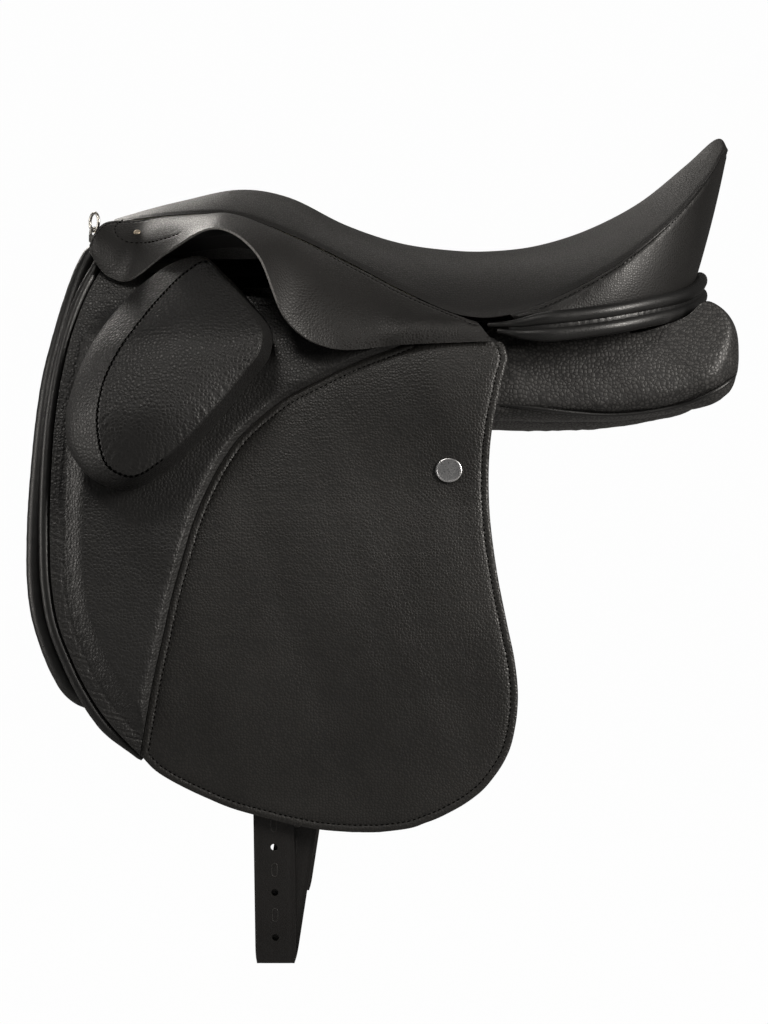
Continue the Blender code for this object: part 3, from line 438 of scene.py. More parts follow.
def grid_faces(rows, columns, wrap=False, closed=False):
    """The faces of a grid of points. wrap joins the last column to the first, and closed the last row."""
    found = []
    for r in range(rows if closed else rows - 1):
        base = r * columns
        beyond = (r + 1) % rows * columns
        for c in range(columns if wrap else columns - 1):
            after = (c + 1) % columns
            found.append((base + c, base + after, beyond + after, beyond + c))
    return found


def sheet(name, outer, inner, finishes, body, replaced, side=None, edges=(0, 0, 0, 0), bevel=0.5, back=0):
    """A closed sheet between two grids. edges gives the finish of its first row, last column, last row and
    first column, and back that of its inner side."""
    rows, columns = outer.shape[:2]
    below = rows * columns
    points = np.concatenate([outer.reshape(-1, 3), inner.reshape(-1, 3)])
    faces = grid_faces(rows, columns)
    which = [0] * len(faces) + [back] * len(faces)
    faces += [tuple(below + k for k in reversed(f)) for f in faces]
    numbers = np.arange(below).reshape(rows, columns)
    rims = (numbers[0], numbers[:, -1], numbers[-1, ::-1], numbers[::-1, 0])
    for rim, finish in zip(rims, edges):
        for a, b in zip(rim.tolist(), rim[1:].tolist()):
            faces.append((a, b, below + b, below + a))
            which.append(finish)
    return make_piece(name, points, faces, finishes, body, replaced, side, which=which, bevel=bevel)


def stack(name, rings, finish, body, replaced=None, side=None, sharp=50):
    """A closed solid through rings of points, capped by a fan at both ends."""
    rings = np.asarray(rings, float)
    levels, count = rings.shape[:2]
    faces = grid_faces(levels, count, wrap=True)
    points = np.concatenate([rings.reshape(-1, 3), rings[[0, -1]].mean(axis=1)])
    for level, middle in ((0, levels * count), (levels - 1, levels * count + 1)):
        for k in range(count):
            faces.append((level * count + k, level * count + (k + 1) % count, middle))
    return make_piece(name, points, faces, [finish], body, replaced, side, sharp=sharp)


def tube_rings(path, radii, corners, swell=None):
    """Rings round a path. swell, one number for each of its points, scales the radius."""
    path = np.asarray(path, float)
    radii = np.broadcast_to(radii, len(path))
    if swell is not None:
        radii = radii * swell
    heading = unit(np.gradient(path, axis=0))
    across = np.cross(heading[0], (0.0, 1.0, 0.0))
    rings = []
    for centre, ahead, radius in zip(path, heading, radii):
        across = unit(across - ahead * (across @ ahead))
        rings.append(centre + radius * circle_on(across, np.cross(ahead, across), corners))
    return rings


# A stitch from end to end: the place along it, its width and its rise
STITCH_PROFILE = (
    (-0.5, 0.25, -0.9), (-0.36, 0.85, -0.25), (0.0, 1.0, 0.1), (0.36, 0.85, -0.25), (0.5, 0.25, -0.9)
)
STITCH_CORNERS = 6
STITCH_SUNK = 0.12


def stitch_points(path, normals, pitch, length, radius):
    """The points of each of the short round stitches along a path on a surface."""
    path, normals = np.asarray(path, float), np.asarray(normals, float)
    run = run_of(path)
    count = max(int(run[-1] // pitch), 1)
    at = (np.arange(count) + 0.5) * run[-1] / count
    centre = places_on(path, run, at)
    ahead = unit(places_on(path, run, at + 0.5) - places_on(path, run, at - 0.5))
    up = places_on(normals, run, at)
    up = unit(up - ahead * (up * ahead).sum(axis=1, keepdims=True))
    aside = np.cross(ahead, up)
    points = []
    for place, wide, rise in STITCH_PROFILE:
        middle = centre + ahead * (place * length) + up * (radius * rise - STITCH_SUNK)
        for cosine, sine in zip(*circle(STITCH_CORNERS)):
            points.append(middle + radius * wide * (aside * cosine + up * sine))
    return np.stack(points, axis=1)


def rod_faces(levels, corners):
    """The faces of rings of points with flat ends."""
    last = (levels - 1) * corners
    ends = [tuple(range(corners)), tuple(range(last, last + corners))]
    return grid_faces(levels, corners, wrap=True) + ends


def copies(points, faces):
    """One mesh of a shape made many times, from the points of each copy and the faces of one."""
    count, each = points.shape[:2]
    found = [tuple(k * each + v for v in face) for k in range(count) for face in faces]
    return points.reshape(-1, 3), found


def stitches(name, lines, body, side=None, **sizes):
    """One piece of thread made of lines of stitches, each a path and its normals."""
    made = np.concatenate([stitch_points(*line, **sizes) for line in lines])
    points, faces = copies(made, rod_faces(len(STITCH_PROFILE), STITCH_CORNERS))
    make_piece(name, points, faces, [THREAD], body, side=side, sharp=70)


def seam_across(skin, normal, from_edge, distance, columns):
    """The path and normals of a seam across the columns of a skin, at a distance from its first row."""
    path, facings = [], []
    for k in columns:
        row = np.interp(distance, from_edge[:, k], np.arange(len(skin)))
        low = int(row)
        t = row - low
        path.append(skin[low, k] * (1 - t) + skin[min(low + 1, len(skin) - 1), k] * t)
        facings.append(normal[low, k])
    return path, facings


# Seat: cover, foam and tree

# Each station: x and z of the middle, x, distance out and z of the seam, and how late the section drops
SEAT_STATIONS = (
    (-270, 158, -268, 50, 152, 2.2),
    (-247, 165, -249, 58, 154, 2.2),
    (-221, 172, -223, 64, 156, 2.1),
    (-178, 181, -180, 72, 155, 2.0),
    (-140, 175, -140, 83, 141, 2.0),
    (-98, 154, -98, 98, 120, 2.2),
    (-58, 140, -54, 119, 95, 2.4),
    (-20, 134, -15, 136, 77, 2.6),
    (10, 133, 19, 141, 77, 2.7),
    (44, 137, 60, 142, 93, 2.6),
    (82, 149, 98, 136, 115, 2.5),
    (122, 170, 135, 117, 146, 2.4),
    (158, 199, 164, 86, 179, 2.2),
    (181, 219, 180, 56, 202, 2.1),
    (188.6, 212, 186, 38, 206, 2.0),
)
seat_section = track([(place, *station) for place, station in enumerate(SEAT_STATIONS)])
UPWARDS = (0, 0, 1)
OUTWARDS = (0, 1, 0)
SEAT_EDGE_LENGTH = 620
COVER_THICK = 2.6
FOAM_DEPTH = 3.6
FOAM_THICK = 15.0
TREE_DEPTH = FOAM_DEPTH + FOAM_THICK + 0.6
TREE_THICK = 7.0


def seat_grid(rows_per_station, columns):
    even = np.linspace(-1, 1, columns)
    across = np.sin(even * math.pi / 2) * 0.5 + even * 0.5
    last = len(SEAT_STATIONS) - 1
    grid = []
    for place in np.linspace(0, last, rows_per_station * last + 1):
        mid_x, mid_z, seam_x, seam_out, seam_z, power = seat_section(place)
        x = mid_x + (seam_x - mid_x) * across**2
        z = mid_z + (seam_z - mid_z) * abs(across) ** power
        grid.append(joined(x, seam_out * across, z))
    grid = np.array(grid)
    return grid, facing(grid_normal(grid), UPWARDS), across


def make_seat():
    top, outward, across = seat_grid(9, 81)
    rows, columns = top.shape[:2]
    share = np.linspace(0, 1, rows)[:, None]
    edge = (1 - abs(across)) * np.linalg.norm(top[:, -1] - top[:, columns // 2], axis=1)[:, None]
    rear = ease((share - 0.93) / 0.07)
    rolled = -0.75 * (1 - ease(edge / 5.0)) * (1 - 0.9 * rear)
    pucker = 0.32 * band(edge, 4.0, 3.0) * ripple(share * SEAT_EDGE_LENGTH, 11.0, 3) * (1 - rear)
    relief = rolled + pucker - 0.1 * ease((share - 0.985) / 0.015)
    skin = top + outward * relief[..., None]
    thickness = COVER_THICK * (1 - 0.7 * abs(across) ** 8) * np.ones((rows, 1))
    thickness[-12:] *= np.linspace(1, 0.4, 12)[:, None]
    under = top - outward * np.maximum(thickness, 0.45 - relief)[..., None]
    sheet("seat_cover_leather", skin, under, [SEAT_LEATHER], ROOT, "seat_cover", bevel=0.0)
    base, normal, _ = seat_grid(4, 49)
    foam = inside_layer(base, normal, FOAM_DEPTH, FOAM_THICK, 6)
    sheet("seat_foam_pad", *foam, [FOAM], ROOT, "seat_foam", bevel=1.5)
    shell = inside_layer(base, normal, TREE_DEPTH, TREE_THICK, 7)
    sheet("tree_shell", *shell, [SHELL], ROOT, "tree", bevel=1.5)


def inside_layer(base, normal, depth, thickness, aside):
    """A layer under the cover, which ends some rows before the cantle and some columns inside the seams."""
    kept = np.s_[2:-12, aside:-aside]
    return (base - normal * depth)[kept], (base - normal * (depth + thickness))[kept]


# Cantle: gussets and rolls

ROLL_LINE = (
    (4, 138.5, 69.2),
    (14, 141.5, 69.3),
    (25, 146, 69.8),
    (39, 148, 72.2),
    (67, 145, 75.5),
    (95, 137, 80),
    (121, 121, 86),
    (142, 98, 92),
    (157, 68, 100),
    (166, 34, 109),
    (169, 0, 114),
)
ROLL_RADIUS = 5.4
ROLL_LENGTH = 455
CANTLE_TIP = (188.3, 0.15, 211.5)
CANTLE_REAR = 188.7
GUSSET_FOOT_REAR = 165
GUSSET_LENGTH = 260
GUSSET_SEAM = 2.4
NEAR_MIDDLE = 0.05


def make_cantle():
    first_station = 8
    seam = [seat_section(place)[2:5] for place in np.arange(first_station, len(SEAT_STATIONS) - 0.9, 0.5)]
    share = bunched(120, 0.5)
    top = along([*seam, CANTLE_TIP])(share)
    top[:, 2] += 1.6 * ease((share - 0.76) / 0.08) - 1.3
    top[:, 0] -= 0.7 * ease((share - 0.6) / 0.15)
    foot = along([p for p in ROLL_LINE if p[0] >= seam[0][0]])(share) + (0.0, 0.0, ROLL_RADIUS - 0.6)
    foot[:, 0] += (GUSSET_FOOT_REAR - foot[-1, 0]) * share**3
    down = bunched(26, 0.7)[:, None]
    outer = top * (1 - down[..., None]) + foot * down[..., None]
    outer[..., 1] = np.maximum(outer[..., 1], NEAR_MIDDLE)
    normal = facing(grid_normal(outer), OUTWARDS)
    height = np.linalg.norm(top - foot, axis=1)
    from_seam = down * height
    crown = 1.6 * np.sin(math.pi * down) ** 0.7 * ease(height / 30)
    pucker = 0.28 * band(from_seam, 5.0, 3.5) * ripple(share * GUSSET_LENGTH, 9.0, 8)
    seam_groove = 0.7 * band(from_seam, 0.4, 1.0) - 0.9 * band(from_seam, GUSSET_SEAM, 1.0)
    relief = (crown + pucker + seam_groove) * (0.25 + 0.75 * ease((1 - share) / 0.04))
    skin = outer + normal * relief[..., None]
    skin[:, -1, 1] = NEAR_MIDDLE
    skin[..., 0] = np.minimum(skin[..., 0], CANTLE_REAR)
    thickness = COVER_THICK * (0.12 + 0.88 * ease(down / 0.7)) * (1 - 0.5 * share**2)
    under = outer - normal * thickness[..., None]
    under[..., 1] = np.maximum(under[..., 1], NEAR_MIDDLE)
    seam = seam_across(skin, normal, from_seam, GUSSET_SEAM, range(3, len(share) - 5))
    for side in SIDES:
        sheet("cantle_gusset_leather", skin, under, [SEAT_LEATHER], ROOT, "cantle_gusset", side, bevel=0.0)
        stitches("cantle_seam_thread", [seam], ROOT, side, pitch=3.7, length=2.7, radius=0.4)


def make_cantle_rolls():
    near = [(x, -out, z) for x, out, z in ROLL_LINE]
    share = np.linspace(0, 1, 301)
    inward = np.minimum(share, 1 - share)
    full = ease(inward / 0.09)
    radii = 1.6 + (ROLL_RADIUS - 1.9) * full
    upper = along([*near, *ROLL_LINE[-2::-1]])(share)
    upper_rings = tube_rings(upper, radii, 20)
    stack("cantle_roll_upper_leather", upper_rings, ROLL_LEATHER, ROOT, "cantle_roll_upper")
    drop = 2 * (1.7 + (ROLL_RADIUS - 1.7) * full) + 0.6
    lower = upper - drop[:, None] * UPWARDS
    kept = inward >= 0.012
    lower_rings = tube_rings(lower[kept], radii[kept], 20)
    stack("cantle_roll_lower_leather", lower_rings, ROLL_LEATHER, ROOT, "cantle_roll_lower")
    ahead = np.gradient(upper, axis=0)
    away = facing(unit(joined(ahead[:, 1], -ahead[:, 0], 0.0)), upper - upper.mean(axis=0))
    middle = (upper + lower) / 2
    puff = radii * 0.5 + 0.3 * ripple(share * ROLL_LENGTH, 3.6, 21) * full
    down = np.linspace(-1, 1, 9)[:, None]
    rings = []
    for k in np.nonzero(inward >= 0.03)[0]:
        column = middle[k] - 3.6 * full[k] * down * UPWARDS
        front = column + away[k] * (puff[k] * (1 - 0.3 * down**2))
        rings.append(np.concatenate([front, column[::-1] - away[k] * 1.5]))
    stack("cantle_gathered_strip", rings, ROLL_LEATHER, ROOT, sharp=80)


# Skirts

SKIRT_TIP = ((-281, 92, 132), (-277, 88, 141), (-269, 76, 149.5))
SKIRT_REAR_TOP = (-4, 141, 71.5)
SKIRT_LOWER = (
    (-281, 95, 126),
    (-274, 98, 114),
    (-264, 100, 106),
    (-250, 103, 105),
    (-224, 111, 123),
    (-188, 137, 138),
    (-157, 153, 118),
    (-136, 156, 71),
    (-104, 152, 52),
    (-52, 147, 55),
    (6, 146, 58),
)
SKIRT_THICK = 3.3
SKIRT_SEAM = 3.4
NAIL_PLACE = (-248.0, 141.0)
NAIL_ARC = (
    (-259, 152), (-264, 145), (-262.5, 138.5), (-256, 134), (-247, 132.5), (-237, 132.5), (-226, 134),
    (-215, 137)
)
# The nail's head: width and rise
NAIL_PROFILE = ((2.0, -0.3), (2.7, -0.1), (2.78, 0.15), (2.6, 0.55), (2.1, 0.95), (1.3, 1.25), (0.5, 1.38))


def skirt_grid(columns, down):
    lift = np.array([0.0, 1.2, -1.2])
    seam = [np.array(station[2:5]) + lift for station in SEAT_STATIONS[1:8]]
    upper = np.array([*SKIRT_TIP, *seam, SKIRT_REAR_TOP], float)
    last = len(upper) - 1
    places = np.linspace(0, last, columns)
    top = track(np.column_stack([range(last + 1), upper]).tolist())(places)
    foot = track(np.column_stack([range(last + 1), SKIRT_LOWER]).tolist())(places)
    swell = unit(joined(0.0, top[:, 2] - foot[:, 2], foot[:, 1] - top[:, 1]))
    full = np.minimum(1.0, (np.linalg.norm(foot - top, axis=1) / 55) ** 1.5)[:, None]
    down = down[:, None, None]
    return top + (foot - top) * down + 5.0 * full * np.sin(math.pi * down) * swell


def make_skirts():
    down = bunched(61, 0.6)
    grid = skirt_grid(241, down)
    grid[:, :111, 1] = smoothed(grid[:, :111, 1].T, 60).T
    normal = facing(grid_normal(grid), OUTWARDS)
    flat = grid[..., [0, 2]]
    from_seam = np.linalg.norm(grid - grid[0], axis=2)
    arc = along(NAIL_ARC)(np.linspace(0, 1, 60))
    grooves = -0.55 * band(from_seam, SKIRT_SEAM, 1.0) - 0.3 * band(nearest_distance(flat, arc), 0, 0.9)
    soft = -0.9 * (1 - ease(from_seam / 3.0))
    wave = 0.25 * ripple(flat[..., 0] + flat[..., 1] * 0.4, 46.0, 5)
    skin = grid + normal * (grooves + soft + wave)[..., None]
    thinned = 1.7 * ease((down - 0.88) / 0.12)
    under = grid - normal * (SKIRT_THICK - thinned)[:, None, None]
    seam = seam_across(skin, normal, from_seam, SKIRT_SEAM, range(8, grid.shape[1] - 2, 2))
    skin_points, skin_normals, flat = skin.reshape(-1, 3), normal.reshape(-1, 3), flat.reshape(-1, 2)

    def nearest(point):
        return int(((flat - point) ** 2).sum(axis=1).argmin())

    arc = resample(arc, 0.8)
    at_arc = [nearest(point) for point in arc]
    out = np.convolve(np.pad(skin_points[at_arc, 1], 3, mode="edge"), np.ones(7) / 7, mode="valid")
    arc_seam = np.column_stack([arc[:, 0], out, arc[:, 1]]), skin_normals[at_arc]
    at_nail = nearest(NAIL_PLACE)
    finishes = [SKIRT_LEATHER, CUT_EDGE, LINING_LEATHER]
    for side in SIDES:
        sheet("skirt_leather", skin, under, finishes, "skirt", "skirt", side, (0, 1, 1, 1), 0.5, back=2)
        stitches("skirt_thread", [seam, arc_seam], "skirt", side, pitch=3.7, length=2.7, radius=0.42)
        make_nail(side, skin_points[at_nail], skin_normals[at_nail])


def make_nail(side, place, normal):
    ahead = unit(np.cross(normal, UPWARDS))
    rim = circle_on(ahead, np.cross(normal, ahead), 32)
    rings = [place + rim * wide + normal * rise for wide, rise in NAIL_PROFILE]
    stack("saddle_nail_head", rings, BRASS, "skirt", "saddle_nail", side)


# Flaps and what lies on them

# The flap's front and rear edges, and the overlay's front edge: z and x, from the top down
FLAP_FRONT = (
    (118, -270), (95, -281), (70, -289), (40, -295), (5, -299), (-40, -300.5), (-82, -300), (-113, -298),
    (-139, -293), (-162, -284), (-184, -273), (-201, -262), (-215, -250), (-230, -235), (-240, -225),
    (-250, -208), (-258, -191), (-266, -171), (-272, -149), (-277, -128), (-281, -100), (-282, -84)
)
FLAP_REAR = (
    (118, -262), (110, -236), (97, -208), (92, -160), (86, -110), (74, -45), (62, 3), (57, 13),
    (50, 16.5), (29, 13), (-6, 6), (-56, 4), (-103, 9), (-140, 16), (-165, 21), (-190, 23), (-210, 21),
    (-228, 16), (-243, 7), (-256, -5), (-267, -22), (-275, -40), (-280, -58), (-282, -76)
)
OVERLAY_FRONT = (
    (66, -30), (53, -62), (44, -86), (32, -111), (19, -136), (6, -153), (-8, -168), (-26, -181),
    (-45, -191), (-67, -200), (-91, -207), (-121, -215), (-149, -221), (-177, -227), (-205, -232),
    (-229, -236)
)

# The sweat flap's rear edge, z and x
SWEAT_REAR = (
    (70, -70), (20, -34), (-60, -30), (-120, -38), (-170, -62), (-200, -105), (-212, -150), (-216, -180)
)

# The front roll, and the block where it stands on the flap and at its face: x and z
FRONT_ROLL_LINE = (
    (-279, 132), (-286, 117), (-294, 90), (-300.5, 61), (-305.5, 35), (-308.5, 7), (-310.5, -26),
    (-312, -82), (-311, -111), (-308, -132), (-302, -152), (-294, -171), (-286, -184), (-277, -192)
)
BLOCK_OUTLINE = (
    (-200, 121), (-181, 106), (-164, 87), (-147, 61), (-148, 49), (-162, 28), (-181, 4), (-198, -15),
    (-219, -34), (-245, -47), (-270, -39), (-286, -18), (-289, 3), (-284, 28), (-273, 56), (-257, 81),
    (-236, 104), (-217, 117)
)
BLOCK_FACE = (
    (-196, 115), (-180, 101), (-166, 84), (-153, 60), (-154, 50), (-167, 31), (-185, 8), (-201, -10),
    (-220, -27), (-242, -38), (-256, -31), (-262, -13), (-263, 5), (-260, 25), (-252, 45), (-239, 66),
    (-224, 88), (-209, 106)
)

flap_front = track(FLAP_FRONT)
flap_rear = track(FLAP_REAR)
overlay_front = track(OVERLAY_FRONT)
sweat_rear = track(SWEAT_REAR)
roll_front = track([(z, x) for x, z in FRONT_ROLL_LINE])
FLAP_HIGH, FLAP_LOW = FLAP_FRONT[0][0], FLAP_FRONT[-1][0]
FLAP_THICK = 3.6
OVERLAY_IN = 4.2
OVERLAY_HIGH = 56.6
OVERLAY_THICK = 2.1
OVERLAY_SEAM = 4.9
PAD_STRIP = 9.0
PAD_FULL = 8.8
WELT_ENDS = (116, -231)
WELT_LENGTH = 354
WELT_PLACES = 166
DISC_PLACE = (-24.0, -33.0)
DISC_HALF = (9.2, 8.4)
DISC_OUT = 7.2
DISC_THICK = 1.5
# The disc from its rim to its middle: rise and width
DISC_PROFILE = (
    (0.0, 1.0), (0.55, 1.005), (0.85, 0.985), (1.0, 0.94), (0.98, 0.9), (0.78, 0.87), (0.74, 0.82),
    (0.8, 0.5), (0.84, 0.2)
)


def layer(front, rear, heights, columns, amount=0.85):
    """x and z of a grid of points between a flap's two edges."""
    across = bunched(columns, amount)
    x = front(heights)[:, None] * (1 - across) + rear(heights)[:, None] * across
    return x, np.broadcast_to(heights[:, None], x.shape)


def rim_line(x, z):
    """The outline of a grid in the plane, from its top down its front, along its foot and up its rear."""
    flat = joined(x, z)
    return np.concatenate([flat[::-1, 0], flat[0], flat[:, -1]])


def inset_line(line, distance):
    """A line moved to its left by a distance, with the knots this makes taken out."""
    line = resample(line, 1.5)
    run = unit(np.gradient(line, axis=0))
    moved = line + joined(-run[:, 1], run[:, 0]) * distance
    return resample(moved[nearest_distance(moved, line) > distance * 0.97], 0.8)


def edge_drop(distance, radius):
    """How far a padded surface falls towards its edge: a quarter round."""
    share = np.clip(1 - distance / radius, 0, 1)
    return 1 - np.sqrt(1 - share**2 * 0.999)


def flap_lining():
    heights = FLAP_LOW + (FLAP_HIGH - FLAP_LOW) * bunched(110, 0.8)
    x, z = layer(flap_front, flap_rear, heights, 70)
    return on_wall(x, z, FLAP_THICK), on_wall(x, z, 0.0)


def flap_overlay():
    """Both sides of the smooth leather on the flap, and its seam."""
    heights = FLAP_LOW + 0.4 + (OVERLAY_HIGH - FLAP_LOW) * bunched(170, 0.9)
    x, z = layer(lambda h: np.maximum(overlay_front(h), flap_front(h)), flap_rear, heights, 130, 0.9)
    rim = rim_line(x, z)
    edge = nearest_distance(joined(x, z), resample(rim, 2.0))
    groove = -0.6 * band(edge, OVERLAY_SEAM, 1.1) - 0.5 * (1 - ease(edge / 2.2))
    cushion = 0.35 * ease((edge - 5.5) / 6)
    wave = 0.3 * ripple(x * 0.9 + z * 0.35, 70.0, 11) * ease(edge / 30)
    outer = on_wall(x, z, OVERLAY_IN + OVERLAY_THICK + groove + cushion + wave)
    seam = wall_path(inset_line(rim, OVERLAY_SEAM), OVERLAY_IN + OVERLAY_THICK - 0.5)
    return outer, on_wall(x, z, OVERLAY_IN), seam


def flap_pad():
    """Both sides of the padded front: a gathered strip along the welt, a seam, then the cushion."""
    low = OVERLAY_FRONT[-1][0]
    heights = low + (FLAP_HIGH - 0.6 - low) * bunched(300, 0.5)
    x, z = layer(flap_front, lambda h: np.minimum(overlay_front(h), flap_rear(h)) - 0.5, heights, 110, 0.8)
    flat = joined(x, z)
    to_front = nearest_distance(flat, flat[:, 0])
    to_rear = nearest_distance(flat, flat[:, -1])
    past_strip = to_front - PAD_STRIP
    rise = ease(past_strip / 16)
    thick = 3.0 + (PAD_FULL - 4.4 * edge_drop(to_rear, 9.0) - 3.0) * rise
    thick = np.minimum(thick, 3.8 + 1.1 * to_rear)
    thick = 0.9 + (thick - 0.9) * ease((88 - z) / 30)
    in_strip = (1 - ease(past_strip / 3.0)) * ease(to_front / 2.0) * ease((70 - z) / 40)
    gather = 0.38 * in_strip * ripple(z + 0.4 * to_front, 3.9, 31)
    seam = -0.5 * band(past_strip, 0, 2.0) * ease((80 - z) / 30)
    soft = 0.35 * ripple(z * 0.6 + x * 0.5, 60.0, 17) * rise
    pucker = 0.3 * band(past_strip, 4, 3.5) * ripple(z, 10.0, 37)
    pucker += 0.22 * band(to_rear, 5, 3.5) * ripple(z, 9.0, 41)
    return on_wall(x, z, OVERLAY_IN + thick + gather + seam + soft + pucker), on_wall(x, z, OVERLAY_IN)


def flap_welt():
    """The roll along the flap's front edge, which tapers at its lower end."""
    z = np.linspace(*WELT_ENDS, WELT_PLACES)
    edge = joined(flap_front(z), z)
    ahead = unit(np.gradient(edge, axis=0))
    foot = ease((-205 - z) / 26)
    place = edge + joined(ahead[:, 1], -ahead[:, 0]) * (4.3 - 3.0 * foot)[:, None]
    path = on_wall(place[:, 0], place[:, 1], 2.5)
    radii = (3.95 - 1.6 * foot) * ease(0.5 + np.arange(WELT_PLACES)[::-1] / 3)
    creases = ripple(np.linspace(0, WELT_LENGTH, WELT_PLACES), 9.0, 51)
    return tube_rings(path, radii, 20, 1 + 0.02 * creases)


def make_flaps():
    lining = flap_lining()
    *overlay, overlay_seam = flap_overlay()
    pad = flap_pad()
    welt = flap_welt()
    below = [LINING_LEATHER, DARK_EDGE, CUT_EDGE]
    above = [FLAP_LEATHER, DARK_EDGE, CUT_EDGE]
    padded = [PAD_LEATHER]
    edges = (2, 1, 1, 1)
    for side in SIDES:
        sheet("flap_lining", *lining, below, "flap", "flap", side, edges, 0.6)
        sheet("flap_overlay_leather", *overlay, above, "flap", "flap_overlay", side, edges, 0.4)
        stitches("flap_overlay_thread", [overlay_seam], "flap", side, pitch=3.7, length=2.8, radius=0.46)
        made = sheet("flap_front_pad_leather", *pad, padded, "flap", "flap_front_pad", side, bevel=0.8)
        stack("flap_welt_roll", welt, ROLL_LEATHER, "flap", "flap_welt", side)
    cosines, sines = circle(64)
    rings = []
    for rise, wide in DISC_PROFILE:
        x = DISC_PLACE[0] + DISC_HALF[0] * wide * cosines
        z = DISC_PLACE[1] + DISC_HALF[1] * wide * sines
        rings.append(sided(on_wall(x, z, DISC_OUT + DISC_THICK * rise), "left"))
    stack("flap_disc_plate", rings, SATIN, "left_flap", "flap_disc_left", sharp=35)


# Knee blocks

BLOCK_IN = OVERLAY_IN + PAD_FULL + 0.8
BLOCK_HIGH = 44.0
BLOCK_ROUND = 520
BLOCK_POINTS = 220
# From the foot to the face: the share of the height, how far the outline is the face's, and its scale
BLOCK_PROFILE = (
    (0.0, 0.0, 0.93), (0.12, 0.0, 0.985), (0.35, 0.0, 1.0), (0.6, 0.22, 1.0), (0.82, 0.62, 1.0),
    (0.95, 0.9, 1.0), (1.0, 1.0, 0.985)
)
BLOCK_BACK = (0.15, 0.5, 0.8)


def block_height(z):
    return BLOCK_HIGH * (0.5 + 0.5 * ease((121 - z) / 70)) * (0.75 + 0.25 * ease((z + 50) / 60))


def make_knee_blocks():
    outline, face = round_loop(BLOCK_OUTLINE, BLOCK_POINTS), round_loop(BLOCK_FACE, BLOCK_POINTS)
    middle = face.mean(axis=0)
    around = np.arange(BLOCK_POINTS)
    seam_start = int(face[:, 1].argmin()) - 14
    seamed = np.arange(seam_start, BLOCK_POINTS + 3) % BLOCK_POINTS
    at_seam = 0.2 + 0.8 * ease((around - seam_start) / 14)
    at_seam[:3] = 1
    puckers = 0.45 * ripple(around * BLOCK_ROUND / BLOCK_POINTS, 8.5, 61)
    rings = []

    def add_ring(shape, scale, lift, extra):
        x, z = (middle + (shape - middle) * scale).T
        rings.append(on_wall(x, z, BLOCK_IN + lift * block_height(z) + extra))

    for scale in BLOCK_BACK:
        add_ring(outline, scale, 0.0, 0.4)
    profile = track([(k, *row) for k, row in enumerate(BLOCK_PROFILE)])
    places = np.concatenate([np.linspace(0, 5, 36), np.linspace(5.1, 6, 10)])
    for place in places:
        lift, to_face, scale = profile(place)
        extra = puckers * band(place, 5.0, 0.5) - 1.6 * at_seam * band(place, 5.45, 0.1)
        add_ring(outline * (1 - to_face) + face * to_face, scale, lift, extra)
    for scale in 1 - np.linspace(0.02, 0.95, 40) ** 1.3:
        add_ring(face, scale * 0.985, 1.0, 6.0 * (1 - scale**2) + puckers * band((1 - scale) * 60, 4, 4))
    rings = np.array(rings)
    lines = []
    for place in (5.28, 5.66):
        k = len(BLOCK_BACK) + int(abs(places - place).argmin())
        around_loop = np.roll(rings[k], -1, axis=0) - np.roll(rings[k], 1, axis=0)
        normal = facing(unit(np.cross(around_loop, rings[k + 1] - rings[k - 1])), OUTWARDS)
        lines.append((rings[k][seamed], normal[seamed]))
    for side in SIDES:
        block = stack("knee_block_leather", rings, GRAIN_LEATHER, "flap", "knee_block", side, sharp=80)
        stitches("knee_block_thread", lines, "flap", side, pitch=3.9, length=2.8, radius=0.46)


# Panels, their front rolls and sweat flaps

# Each station: x, then distance out, height, half the length and thickness of the section, and its tilt
PANEL_STATIONS = (
    (-270, 84, 62, 62, 12, 57),
    (-220, 85, 60, 64, 14, 54),
    (-160, 86, 56, 63, 16, 48),
    (-90, 88, 46, 59, 22, 36),
    (-20, 88, 40, 54, 30, 20),
    (50, 88, 43, 52, 40, 6),
    (110, 88, 46, 50, 42, 0),
    (150, 86, 52, 45, 41, 0),
)
PANEL_END = (187, 82)
PANEL_REAR_TOP = ((96, 62), (121, 68), (142, 74), (150, 79), (157, 88), (164, 93))
PANEL_PIPING = ((11, 14), (40, 11), (67, 8), (95, 7), (123, 10), (142, 14), (160, 21), (174, 29), (185, 38))
PANEL_OUT = -14.6
PANEL_GAP = 0.6
ARCH_REAR = -194
ARCH_LEGS = [tuple(on_wall(-262, z, PANEL_OUT + 2.3)[1:]) for z in np.linspace(78, 110.5, 5)]
HEAD_ARCH = np.array([*ARCH_LEGS, (60, 119.5), (42, 123.5), (20, 124.8), (0, 125)][::-1])
SWEAT_OUT = -10.7
SWEAT_IN = SWEAT_OUT - 2.9


def under_tree(x, out):
    """The height of the tree's underside."""
    middles = [station[0] for station in SEAT_STATIONS]
    place = np.interp(x, middles, range(len(middles)))
    _, mid_z, _, seam_out, seam_z, power = seat_section(place)
    share = min(abs(out) / seam_out, 1.0)
    lean = (mid_z - seam_z) * power * share ** (power - 1) / seam_out
    return mid_z + (seam_z - mid_z) * share**power - (TREE_DEPTH + TREE_THICK) * math.sqrt(1 + lean**2)


def rounded(wave):
    """A sine or cosine that makes a fuller section than an ellipse."""
    return np.sign(wave) * abs(wave) ** (2 / 2.9)


